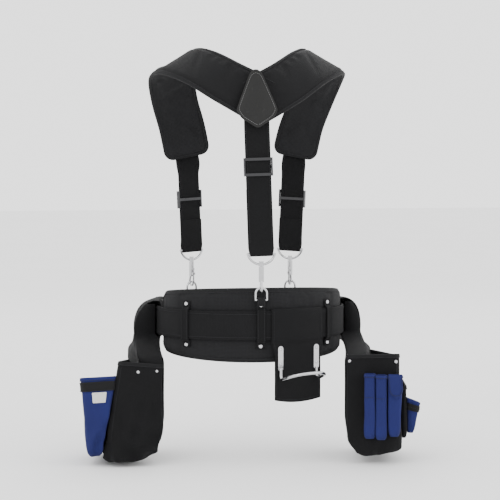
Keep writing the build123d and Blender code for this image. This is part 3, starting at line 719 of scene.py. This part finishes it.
def suspender(side):
    """A strap folded round the wire loop's bar and running up to its pad."""
    angle, gap, height = RINGS[side][:3]
    start = waist(angle, gap, height + 80.7)
    along = (ENDS[side] - start).normalized()
    across = heading(angle - 90)
    across = (across - along * across.dot(along)).normalized()
    out = along.cross(across)
    top = (ENDS[side] - start).length
    tail = SLIDERS[side] - 38
    run = [(-2.75, tail), (-2.7, tail * 0.6), (-2.7, 16), (-3.2, 6), (-3.3, 0)]
    run += [(-3.3 * cos(radians(t)), -3.3 * sin(radians(t))) for t in (30, 60, 90, 120, 150)]
    run += [(3.3, 0), (3.0, 6), (0.9, 14), (0.1, 20), (0, 30)]
    run += [(0, z) for z in spread(40, top - 6, 20)]
    path = [start + out * y + along * z for y, z in run]
    if side == "back":
        path += [start + along * (top - 2), ENDS[side] + Vector((0, 1, 14))]
        flat = across
    else:
        lean = 1 if side == "right" else -1
        flat = Vector((1, 0.05 * lean, 0.08 * lean))
        path += [Vector((lean * 100, 123.4, 283)), Vector((lean * 101.5, 124.4, 293)),
                 Vector((lean * 105.5, 122.4, 308)), Vector((lean * 110.5, 119.6, 326))]
    path = soften(path, 1)
    marks = marks_of(path)
    turning = [smooth((s - marks[-1] + 72) / 32) for s in marks]
    surface, length = strip(path, [across.lerp(flat, t).normalized() for t in turning])
    fold = marks[min(range(len(path)), key=lambda i: (path[i] - start).dot(along))]

    def narrowed(a, s):
        """The strap narrows where the wire loop's bar is."""
        return surface(a * mix(WIRE_HALF / STRAP_HALF, 1.0, smooth(abs(s - fold) / 16)), s)

    across_rows = [-STRAP_HALF, -21.8, -17, -9, 0, 9, 17, 21.8, STRAP_HALF]
    rows = spread(0, fold - 14, 30) + spread(fold - 12, fold + 20, 24) + spread(fold + 24, length, 60)
    band = sheet(f"{side}_webbing", narrowed, across_rows, rows, strap_webbing, 2.2)
    fit(band, "belt", "belt_webbing", STRAP_NODES[side])
    sew_lines("belt", narrowed, 19.4, spread(fold + 24, length - 3, 90), lift=1.15, pitch=3.6)
    if side != "back":
        near, far = length - 34, length - 4
        box = [(-16, far), (16, far), (16, near), (-16, near), (-16, far)]
        facing = normal_at(surface, 0, length - 8).y < 0
        for first, second in zip(box, box[1:]):
            spots = [(mix(first[0], second[0], t), mix(first[1], second[1], t)) for t in spread(0, 1, 12)]
            sew_on("belt", surface, spots, flip=facing, lift=1.15, colour="pale_thread")


for side in RINGS:
    suspender(side)


# ---------------------------------------------------------------- shoulder pads and yoke
# Stations along a shoulder pad, from the yoke to its front end: a place and the direction of its width.
SHOULDER_LINE = [
    ((12, -116, 390), (-0.42, -0.10, -0.90)),
    ((-50, -100, 424), (-0.44, -0.33, -0.83)),
    ((-98, -62, 453), (-0.60, -0.42, -0.68)),
    ((-132, -8, 463), (-0.84, -0.22, -0.50)),
    ((-138, 48, 441), (-0.96, 0.05, -0.28)),
    ((-128, 88, 395), (-0.99, 0.12, -0.05)),
    ((-112, 110, 345), (-0.99, 0.10, 0.06)),
    ((-100, 118, 290), (-1.0, 0.05, 0.08)),
]
YOKE_X = -6.0


def shoulder(name, side):
    """A stuffed pad over one shoulder and its tape, both cut off at the yoke's middle line."""
    places = [Vector((-side * x, y, z)) for (x, y, z), _ in SHOULDER_LINE]
    widths = [Vector((-side * a[0], a[1], a[2])).normalized() for _, a in SHOULDER_LINE]
    count = 120
    path = [through(places, t) for t in spread(0, 7, count)]
    sides = [through(widths, t) for t in spread(0, 7, count)]
    for i in range(count):
        along = (path[min(i + 1, count - 1)] - path[max(i - 1, 0)]).normalized()
        sides[i] = (sides[i] - along * sides[i].dot(along)).normalized() * side
    surface, length = strip(path, sides)
    ends = (False, True)
    pad, width, thick = stuffed_band(name, surface, length, lambda s: 42.0, 10.0, 4.0, 11.0, ends)

    def held(p):
        nearest = min(range(0, count, 3), key=lambda i: (path[i] - p).length)
        off = abs((p - path[nearest]).dot(sides[nearest]))
        return 1.0 if off > 33 or nearest < 12 or nearest > count - 12 else 0.0

    inflate(pad, held, lambda p: 1.8)
    ripple(pad, 0.9, (18, 18, 18), 5.0 + side)
    round_off(pad)
    tape = piping(f"{name}_tape", surface, length, width, thick, ends, 5.5, "belt")
    for piece in (pad, tape):
        cut = bmesh.new()
        cut.from_mesh(piece.data)
        plane = Vector((YOKE_X + side * 0.4, 0, 0)) * MM
        bmesh.ops.bisect_plane(cut, geom=cut.verts[:] + cut.edges[:] + cut.faces[:], plane_co=plane,
                               plane_no=Vector((-side, 0, 0)), clear_outer=True)
        if piece == pad:
            edges = [edge for edge in cut.edges if edge.is_boundary and
                     all(abs(v.co.x - plane.x) < 0.0001 for v in edge.verts)]
            bmesh.ops.holes_fill(cut, edges=edges, sides=0)
        cut.to_mesh(piece.data)
        cut.free()
    return pad, tape


for name, side in (("left_shoulder", -1), ("right_shoulder", 1)):
    pad, tape = shoulder(name, side)
    fit(pad, "belt", "pad_fabric", f"{name}_pad")
    fit(tape, "belt", "binding")

# The pads' stitches stop at the middle line too.
seams[("belt", "thread")] = [row for row in seams[("belt", "thread")]
                             if not (row[0].z > 350 and row[0].y < -60 and abs(row[0].x - YOKE_X) < 0.5)]


def yoke(name, origin_y, grow, thickness, node, sewn):
    """A kite of leather over the place where the straps meet, domed and pressed at its rim."""
    lean = Vector((0, -108, 27)).normalized()
    side = Vector((1, 0, 0))
    rise = lean.cross(side)
    half = [(0, -grow), (28 + grow, 18), (37 + grow, 33), (10 + grow, 102), (0, 108 + grow)]
    corners = [Vector((x, y, 0)) for x, y in half] + [Vector((-x, y, 0)) for x, y in half[-2::-1]]
    route = []
    for first, last in zip(corners, corners[1:]):
        gap = (last - first).length
        route += [first.lerp(last, t) for t in (min(3 / gap, 0.4), 0.5, 1 - min(3 / gap, 0.4))]
    ring = soften(route + [route[0]], 2)[:-1]
    centre = Vector((0, 44, 0))
    origin = Vector((YOKE_X, origin_y, 345))

    def surface(a, s):
        spot = ring[int(a) % len(ring)].lerp(ring[(int(a) + 1) % len(ring)], a - int(a))
        flat = centre.lerp(spot, s)
        ridge = 0.7 * smooth((1 - s) / 0.08) - 0.9 * smooth((s - 0.72) / 0.1) * smooth((1 - s) / 0.1)
        return origin + side * flat.x + rise * flat.y + lean * (thickness / 2 + ridge + 1.8 * (1 - s * s))

    shares = [0.02, 0.25, 0.5, 0.7, 0.78, 0.84, 0.9, 0.94, 0.97, 1.0]
    rim = list(range(len(ring)))
    patch = sheet(name, surface, rim, shares[::-1], black_leather, thickness, closed=True, cap=True)
    fit(patch, "belt", "leather", node)
    if sewn:
        spots = [(a, 0.885) for a in range(len(ring) + 1)]
        points = [surface(a, s) + lean * 1.2 for a, s in spots]
        sew("belt", points, [lean] * len(points), colour="pale_thread", radius=0.5)


yoke("yoke_leather", -139.0, 0, 2.2, "yoke_patch", True)
yoke("yoke_lining", -108.0, -5, 2.0, "yoke_backing", False)


# ---------------------------------------------------------------- hammer holder
HAMMER_ANGLE = 290.0
HAMMER_OUT = heading(HAMMER_ANGLE)
# Up behind the belt, over it and down its face: each point is a gap and a height.
HAMMER_RUN = [(16.1, -25, 0), (16.1, 24, 0), (17, 28.2, 0), (19.4, 28.6, 0), (22.4, 27, 0), (22.9, 20, 0),
              (22.9, -22, 0), (22.4, -27, 0), (19.4, -33, 0), (18.85, -42, 0), (18.85, -60, 0)]
hammer_path = soften(HAMMER_RUN, 2) + [Vector((18.85, z, 0)) for z in spread(-64, -137.5, 18)]
hammer_marks = marks_of(hammer_path)


def hammer_surface(a, s):
    gap, z, _ = at_mark(hammer_path, hammer_marks, s)
    half = mix(51.5, 46, smooth((-28 - z) / 24))
    curved = waist(HAMMER_ANGLE + degrees(a * half / (END_RADIUS + gap)), gap, z)
    flat = waist(HAMMER_ANGLE, gap, z) + heading(HAMMER_ANGLE + 90) * (a * half)
    low = smooth((-110 - z) / 28)
    hang = flat + UP * (5.5 * a * a * low)
    return curved.lerp(hang, smooth((-27 - z) / 14))


hammer_across = [-1, -0.985, -0.94] + spread(-0.85, 0.85, 13) + [0.94, 0.985, 1]
hammer_along = spread(0, hammer_marks[-1], 90)
holder = sheet("hammer_leather", hammer_surface, hammer_across, hammer_along, canvas, 2.2,
               waves=(0.35, (30, 30, 30), 2.0))
fit(holder, "hammer_holder", "black_canvas", "hammer_sleeve", "hammer_panel")
low = hammer_marks[-1] - 5
seam_lines = [[(a, s) for s in spread(60, low, 80)] for a in (-0.93, 0.93)]
seam_lines.append([(a, low) for a in spread(-0.93, 0.93, 30)])
for line in seam_lines:
    points = [hammer_surface(a, s) + HAMMER_OUT * 1.25 for a, s in line]
    sew("hammer_holder", points, [HAMMER_OUT] * len(line))


# ---------------------------------------------------------------- pouches
# The direction that each pouch faces, and the direction of its rear side.
LEFT_POUCH = (183.0, 273.0)
RIGHT_POUCH = (-14.0, -104.0)
CLOTHS = {"black_canvas": canvas, "blue_canvas": blue_canvas, "binding": binding}
# How many points go round each side and corner of a pocket.
SIDE_PARTS = [4, 5, 12, 5, 22, 5, 12, 5, 4]
ROUND = [part + i / count for part, count in enumerate(SIDE_PARTS) for i in range(count)]


def around(c, inner, outer, front, rear, r):
    """A point on a rectangle with round outer corners and sewn inner ones.

    c runs 0-1 along half the inner side, 2-3 the rear, 4-5 the outer side, 6-7 the front
    and 8-9 the rest of the inner side, with the corners between them.
    """
    middle = (front + rear) / 2
    part = min(int(c), 8)
    t = c - part
    seam = min(r, 3.5)
    lines = {
        0: ((inner, middle), (inner, rear - seam)),
        2: ((inner + seam, rear), (outer - r, rear)),
        4: ((outer, rear - r), (outer, front + r)),
        6: ((outer - r, front), (inner + seam, front)),
        8: ((inner, front + seam), (inner, middle)),
    }
    corners = {
        1: ((inner + seam, rear - seam), 180, seam),
        3: ((outer - r, rear - r), 90, r),
        5: ((outer - r, front + r), 0, r),
        7: ((inner + seam, front + seam), -90, seam),
    }
    if part in lines:
        first, second = lines[part]
        return mix(first[0], second[0], t), mix(first[1], second[1], t)
    (x, y), start, size = corners[part]
    turn = radians(start - 90 * t)
    return x + size * cos(turn), y + size * sin(turn)


class Pocket:
    """A pocket hanging from a pouch.

    Each station is (inner height, outer height, inner side, outer side, front, rear, corner radius).
    The front end moves in by shift, and its outer side by lean more. It hangs lower by tilt, at its inner
    and its outer side. Belly swells the front and rear, and the outer side, and slack deepens the folds.
    """

    def __init__(self, pouch, stations, belly=(0.0, 0.0), slack=3.0, lean=0.0, shift=0.0, tilt=(0.0, 0.0),
                 seed=0.0):
        self.flip = pouch is LEFT_POUCH
        self.body = "left_pouch" if self.flip else "right_pouch"
        self.facing, self.behind = heading(pouch[0]), heading(pouch[1])
        self.stations = [Vector(station) for station in stations]
        self.last = len(stations) - 1
        self.drop = self.stations[0][1] - self.stations[1][1]
        self.belly, self.slack, self.seed = belly, slack, seed
        self.lean, self.shift, self.tilt = lean, shift, tilt

    def at(self, c, t):
        """The point c round the pocket at station t."""
        low, high, inner, outer, front, rear, r = through(self.stations, t)
        c %= 9
        u, v = around(c, inner, outer, front, rear, r)
        down = min(max(t / self.last, 0), 1)
        swell = 4 * (c % 1) * (1 - c % 1) * sin(pi * down) ** 0.8
        if int(c) in (2, 6):
            v += self.belly[0] * swell * (1 if int(c) == 2 else -1)
        if int(c) == 4:
            u += self.belly[1] * swell
        share = (u - inner) / max(outer - inner, 1e-6)
        front_share = min(max((85 - v) / 180, 0), 1)
        z = mix(low, high, share) - front_share * mix(*self.tilt, share) * (1 - down)
        middle, half = (inner + outer) / 2, max((outer - inner) / 2, 1)
        out = Vector(((u - middle) / half, (v - (front + rear) / 2) / max((rear - front) / 2, 1)))
        out.normalize()
        spot = Vector((u * 0.019, v * 0.019, z * 0.01 + self.seed))
        crease = 1 - 3.2 * abs(noise.noise(spot * 2.1 + Vector((5, 1, 3))))
        fold = (noise.noise(spot) + 0.9 * crease) * smooth(1.25 * down)
        u += 0.7 * out.x * fold * self.slack - front_share * (self.shift + self.lean * share)
        v += out.y * fold * self.slack
        return self.facing * u + self.behind * v + UP * z

    def off(self, c, t, lift):
        return self.at(c, t) + self.normal(c, t) * lift

    def normal(self, c, t):
        across = self.at(c + 0.02, t) - self.at(c - 0.02, t)
        down = self.at(c, t + 0.02) - self.at(c, t - 0.02)
        normal = across.cross(down).normalized()
        return normal if self.flip else -normal

    def make(self, names, slots, node, waves, thickness=1.5, depth=9.0, seam=None):
        """The pocket and its hem, with the names and slots of both, sewn this far below the mouth."""
        along = spread(0, self.last, 8 * self.last + 1)
        bag = sheet(names[0], self.at, ROUND, along, CLOTHS[slots[0]], thickness, closed=True, side=-1.0,
                    cap=True, flip=not self.flip, waves=waves)
        fit(bag, self.body, slots[0], *node)
        self.hem(names[1], slots[1], depth)
        if seam:
            self.sew_round(seam)

    def hem(self, name, slot, depth, lift=0.1, thickness=0.9):
        """A folded hem round the mouth, outside and in."""
        proud = lift + thickness / 2
        turn = 3.0

        def fold(c, s):
            if s <= depth:
                return self.off(c, (depth - s) / self.drop, proud)
            if s <= depth + turn:
                angle = pi * (s - depth) / turn
                return self.off(c, 0, -1.0 + (1.0 + proud) * cos(angle)) + UP * (0.9 * sin(angle))
            return self.off(c, (s - depth - turn) / self.drop, -2.5)

        along = spread(0, depth, 4) + [depth + 0.75, depth + 1.5, depth + 2.25]
        along += spread(depth + turn, depth + 9, 3)
        made = sheet(name, fold, ROUND, along, CLOTHS[slot], thickness, closed=True, flip=self.flip)
        fit(made, self.body, slot)

    def wrap(self, name, material, ends, heights, lift, thickness, slot, *nodes):
        """A strip lying on the pocket between two heights, in millimetres below its mouth."""
        across = [ends[0]] + [c for c in ROUND if ends[0] < c < ends[1]] + [ends[1]]
        made = sheet(name, lambda c, d: self.off(c, d / self.drop, lift), across, spread(*heights, 7),
                     material, thickness, side=1.0, flip=not self.flip)
        fit(made, self.body, slot, *nodes)

    def sew(self, spots, lift):
        """Stitches through places on the pocket, each c round it and d below its mouth."""
        points = [self.off(c, d / self.drop, lift) for c, d in spots]
        sew(self.body, points, [self.normal(c, d / self.drop) for c, d in spots])

    def sew_round(self, d, start=1.0, end=8.0, lift=1.1):
        self.sew([(c, d) for c in spread(start, end, 90)], lift)

    def sew_down(self, bottom):
        """Two seams down the corners of the rear side."""
        for c in (1.7, 3.3):
            self.sew([(c, d) for d in spread(12, bottom, 40)], 0.2)


def hanger(pouch, rear_angle, turn, back, out, swell):
    """The cloth that a pouch hangs by: a tunnel for the belt, closed at its ends but for the belt."""
    side = "left" if pouch is LEFT_POUCH else "right"
    body = f"{side}_pouch"
    facing, behind = heading(pouch[0]), heading(pouch[1])
    middle, way = (SIDE_CENTRE, 90) if side == "right" else (-SIDE_CENTRE, -90)
    hump = [(14.4, 31), (15.5, 33.4), (20, 34.2), (29, 33.6), (40, 26), (47.5, 14), (51, 2), (52.5, -10),
            (52, -24), (50, -40), (48, -56), (47, -80)]
    hump = soften([(14.4 + (gap - 14.4) * swell, z, 0) for gap, z in hump], 2)
    marks = marks_of(hump)

    def hang(a, gap, z, straight, rear, front):
        """A point that follows the waist at the belt and the flat side of the pouch below it."""
        curved = Vector((middle, 0, z)) + heading(rear_angle + turn * a) * (SIDE_RADIUS + gap)
        flat = facing * straight + behind * mix(rear, front, a) + UP * z
        t = smooth((-26 - z) / 38)
        return curved.lerp(flat, t) + facing * (4.5 * max(sin(pi * t), 0.0) ** 0.5)

    def inside(a, z):
        low = smooth((-160 - z) / 46)
        return hang(a, 14.4, z, back + 5 * low, 82 - 2 * low, 5 * low - 95)

    def outside(a, s):
        gap, z, _ = at_mark(hump, marks, s)
        return hang(a, gap, z, out, 70, -78)

    across = [0, 0.02] + spread(0.07, 0.93, 18) + [0.98, 1]
    heights = spread(31, -66, 26) + spread(-72, -206, 22)
    inner = sheet(f"{side}_hanger_back", inside, across, heights, canvas, 2.2, waves=(0.8, (24, 24, 14), 7.0))
    fit(inner, body, "black_canvas", f"{body}_sleeve", f"{body}_back")
    outer = sheet(f"{side}_hanger_front", outside, across, spread(0, marks[-1], 46), canvas, 2.2,
                  waves=(3.0, (20, 20, 20), 9.0))
    fit(outer, body, "black_canvas")
    below = [s for s, spot in zip(marks, hump) if spot.y < 29 and spot.x > 30]
    for label, a, sign in (("rear", 0.0, 1), ("front", 1.0, -1)):
        sag = heading(rear_angle + turn * a - way) * (5 * sign)

        def end_cloth(t, n):
            far = outside(a, below[n])
            near = hang(a, mix(23.9, 15.2, smooth((-26.5 - far.z) / 5)), far.z, back + 1.5, 84, -94)
            return near.lerp(far, t) + sag * sin(pi * t)

        gusset = sheet(f"{side}_hanger_{label}_gusset", end_cloth, spread(0, 1, 12), list(range(len(below))),
                       canvas, 1.8, waves=(2.2, (26, 26, 26), 2.0))
        fit(gusset, body, "black_canvas")
    stops = spread(8, marks[-1] - 30, 60)
    for a in (3, 97):
        points = [outside(a * 0.01, s) for s in stops]
        normals = [normal_at(lambda x, y: outside(x * 0.01, y), a, s) for s in stops]
        normals = [n if n.dot(p) > 0 else -n for n, p in zip(normals, points)]
        sew(body, [p + n * 1.4 for p, n in zip(points, normals)], normals)


hanger(LEFT_POUCH, 184.0, -36.0, 171.4, 212.0, 1.22)
hanger(RIGHT_POUCH, -3.2, 35.2, 178.1, 214.0, 1.0)

# Left pouch: a deep bag, a blue pocket on its outer side, a band and a plain label.
left_bag = Pocket(LEFT_POUCH, [
    (-72, -64, 173, 252, -95, 85, 12), (-112, -108, 174.3, 259.5, -96, 86, 14),
    (-152, -152, 175, 267, -96, 86, 16), (-190, -196, 175.6, 274, -95, 86, 18),
    (-212, -222, 181, 279, -93, 84, 20), (-229, -237, 193, 279.5, -89, 80, 20),
    (-241, -244.5, 212, 270, -82, 73, 18), (-246, -246, 226, 258, -70, 62, 12),
], (3.0, 0.0), slack=12.0, lean=26, tilt=(5, 22), seed=1.0)
left_bag.make(("left_bag", "left_bag_hem"), ("black_canvas", "binding"), ["left_pouch_pocket"],
              (1.6, (30, 30, 18), 1.0), thickness=2.0, seam=7.4)
left_bag.sew_down(160)

left_blue = Pocket(LEFT_POUCH, [
    (-90, -92, 257, 321, -75, 80, 12), (-128, -130, 263, 317.5, -76, 81, 14),
    (-166, -166, 270, 313.5, -76, 81, 15), (-202, -202, 277, 311, -74, 79, 15),
    (-224, -226, 281, 308.5, -70, 75, 13), (-234, -236, 286, 303, -62, 66, 8),
], (2.0, 3.0), slack=5.0, lean=8, shift=26, tilt=(26, 26), seed=4.0)
BLUE_PAIR = ("blue_canvas", "blue_canvas")
left_blue.make(("left_blue_bag", "left_blue_hem"), BLUE_PAIR, ["left_blue_pocket"], (1.2, (30, 30, 18), 4.0),
               thickness=2.0, depth=8.0, seam=6.5)
left_blue.wrap("left_band", binding, (1.1, 7.9), (9.5, 25.5), 0.6, 1.2, "binding", "left_pocket_band")
for depth in (11, 24):
    left_blue.sew_round(depth, 1.3, 7.7, 1.9)
left_blue.wrap("left_label", label_satin, (2.22, 2.86), (27, 45), 0.9, 0.5, "label", "left_care_label")

# Right pouch: a square bag, a flat pocket in front, a tube, two tool sleeves and a corner pocket.
right_bag = Pocket(RIGHT_POUCH, [
    (-56, -53, 180, 275, -95, 85, 12), (-100, -98, 180.6, 275.8, -95, 85, 13),
    (-145, -143, 181, 276.6, -95, 85, 14), (-188, -186, 181.6, 278, -95, 85, 15),
    (-212, -212, 185, 279, -93, 84, 18), (-228, -225, 196, 277, -88, 80, 20),
    (-237, -232, 210, 262, -80, 72, 18), (-239, -235, 222, 250, -68, 60, 12),
], (0.4, 0.0), slack=4.5, lean=19, tilt=(4, 22), seed=9.0)
right_bag.make(("right_bag", "right_bag_hem"), ("black_canvas", "binding"), ["right_pouch_pocket"],
               (1.0, (30, 30, 18), 9.0), thickness=2.0, seam=7.4)
right_bag.sew_down(150)

right_flat = Pocket(RIGHT_POUCH, [
    (-112, -112, 278, 288.2, -80, 70, 4), (-140, -140, 279, 288.8, -80, 70, 4),
    (-168, -168, 280, 289.4, -80, 70, 4), (-190, -190, 281, 289.4, -79, 69, 3.5),
    (-202, -201, 282, 288, -75, 65, 2.2), (-206, -205, 283, 287, -68, 58, 1.2),
], (0.6, 1.0), slack=0.8, shift=19, seed=9.0)
right_flat.make(("right_flat_pocket", "right_flat_hem"), ("black_canvas", "binding"), ["right_front_pocket"],
                (0.8, (30, 30, 16), 12.0), depth=8.0, seam=6.5)

tube = Pocket(RIGHT_POUCH, [
    (-133, -141, 290.2, 314, 26, 66, 9), (-152, -157, 290.6, 311, 26, 66, 8.5),
    (-172, -176, 291, 307, 27, 65, 6), (-188, -190, 291.4, 304, 29, 63, 4),
    (-197, -197, 292.4, 301, 32, 60, 2),
], (0.5, 1.0), slack=1.2, lean=6, shift=19, tilt=(14, 14), seed=2.0)
tube.make(("tube_bag", "tube_hem"), BLUE_PAIR, ["right_tube_pocket"], (0.8, (40, 40, 20), 2.0), depth=6.0)
tube.wrap("tube_band", binding, (1.2, 7.8), (7, 17), 0.4, 1.1, "binding")
tube.sew_round(12, 1.4, 7.6, 1.6)

# The rear face of the right bag, which the tool sleeves and the corner pocket are sewn to.
REAR = 85.6
for number, (inner, outer, top) in enumerate(((213.2, 232.6, -88), (233.4, 252.8, -90))):
    sides = (inner, outer, REAR)
    sleeve = Pocket(RIGHT_POUCH, [
        (top, top, *sides, REAR + 19.5, 6), (top - 38, top - 38, *sides, REAR + 17.5, 6),
        (top - 76, top - 76, *sides, REAR + 14.5, 5.5), (top - 106, top - 106, *sides, REAR + 12, 4.5),
        (top - 115, top - 115, inner + 3, outer - 3, REAR, REAR + 7, 2.5),
    ], slack=1.4, seed=3.0 * number)
    sleeve.make((f"tool_sleeve_{number + 1}", f"tool_sleeve_hem_{number + 1}"), BLUE_PAIR,
                ["right_tool_sleeves"] if number == 0 else [], (0.7, (40, 40, 14), 3.0 * number),
                depth=7.0, seam=5.5)
    sleeve.sew_round(40, 1.4, 3.6, 0.3)

corner = Pocket(RIGHT_POUCH, [
    (-92, -90, 254.4, 280, REAR, REAR + 15.5, 6), (-122, -120, 254.6, 279.5, REAR, REAR + 14, 6),
    (-156, -155, 255, 278, REAR, REAR + 12, 5), (-188, -188, 256, 276, REAR, REAR + 10, 4),
    (-199, -199, 260, 272, REAR, REAR + 6, 2.4),
], slack=1.4, seed=6.0)
corner.make(("corner_bag", "corner_hem"), BLUE_PAIR, ["right_corner_pocket"], (0.7, (40, 40, 20), 6.0),
            depth=6.0, seam=4.6)


RIGHT_REAR = heading(RIGHT_POUCH[1])


def tongue_flap(t, s):
    """A round-ended flap over the corner pocket: t across, s down it."""
    width = 12.5 * sqrt(max(1 - smooth((s - 22) / 22) ** 2, 0.02))
    depth = REAR + 17.2 - s * 0.03 + (-3.5 if s < 4 else 0)
    u = 267.4 + t * width + s * 0.06
    return heading(RIGHT_POUCH[0]) * u + RIGHT_REAR * depth + UP * (-86.5 - s)


flap = sheet("corner_flap", tongue_flap, spread(-1, 1, 11), spread(0, 43.5, 18), blue_canvas, 1.4)
fit(flap, "right_pouch", "blue_canvas")
edge = [(-0.86, s) for s in spread(3, 34, 14)] + [(t, 38) for t in spread(-0.6, 0.6, 8)]
edge += [(0.86, s) for s in spread(34, 3, 14)]
sew("right_pouch", [tongue_flap(t, s) + RIGHT_REAR for t, s in edge], [RIGHT_REAR] * len(edge))


# ---------------------------------------------------------------- stitches and metal parts
THREADS = {"thread": thread, "pale_thread": pale_thread}
for (body, colour), rows in seams.items():
    make_stitches(body, colour, rows, THREADS[colour])

BLACK_METAL = {"back_slider", "left_slider", "right_slider"}
for name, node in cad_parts.items():
    if node.hide_render:
        continue
    node.data.materials.clear()
    node.data.materials.append(black_steel if name in BLACK_METAL else chrome)
    node.data.polygons.foreach_set("use_smooth", [True] * len(node.data.polygons))
    node.data.set_sharp_from_angle(angle=radians(35))


# ---------------------------------------------------------------- floor, light and camera
def floor_plane():
    low = (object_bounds()[0].z - 0.004) / MM
    size = 9000
    verts = [(-size, -size, low), (size, -size, low), (size, size, low), (-size, size, low)]
    f = Finish("floor")
    cloud = f.noise(f.solid_place(), 3.0)
    pale = f.between(cloud, (0.86, 0.86, 0.86, 1), (0.9, 0.9, 0.9, 1))
    f.set(Base_Color=pale, Roughness=0.9, Specular_IOR_Level=0.1)
    corners = [(0, 0), (1, 0), (1, 1), (0, 1)]
    new_object("floor", verts, [[0, 1, 2, 3]], corners, [f.material])


def area_light(name, place, aim, size, power):
    lamp = bpy.data.lights.new(name, "AREA")
    lamp.size = size
    lamp.energy = power
    holder = link(name, lamp)
    holder.location = place
    holder.rotation_euler = (Vector(aim) - Vector(place)).to_track_quat("-Z", "Y").to_euler()


floor_plane()
world = bpy.data.worlds.new("studio")
bpy.context.scene.world = world
world.use_nodes = True
background = world.node_tree.nodes["Background"]
background.inputs["Color"].default_value = (1.0, 1.0, 1.0, 1)
background.inputs["Strength"].default_value = 2.2
area_light("key", (-1.6, -2.2, 1.9), (0, 0, 0.1), 1.0, 16)
area_light("fill", (2.2, -1.6, 0.9), (0, 0, 0.1), 1.6, 12)
area_light("back", (0.6, 2.4, 1.8), (0, 0, 0.2), 1.4, 14)

AZIMUTH = -8.0
ELEVATION = 4.0
DISTANCE = 3.5
AIM = Vector((-0.0183, -0.13, 0.133))
FOCAL_LENGTH = 144.0
lens = bpy.data.cameras.new("camera")
camera = link("camera", lens)
bpy.context.scene.camera = camera
turn, lift = radians(AZIMUTH), radians(ELEVATION)
back = Vector((sin(turn) * cos(lift), -cos(turn) * cos(lift), sin(lift)))
camera.location = AIM + back * DISTANCE
camera.rotation_euler = (-back).to_track_quat("-Z", "Y").to_euler()
lens.lens = FOCAL_LENGTH
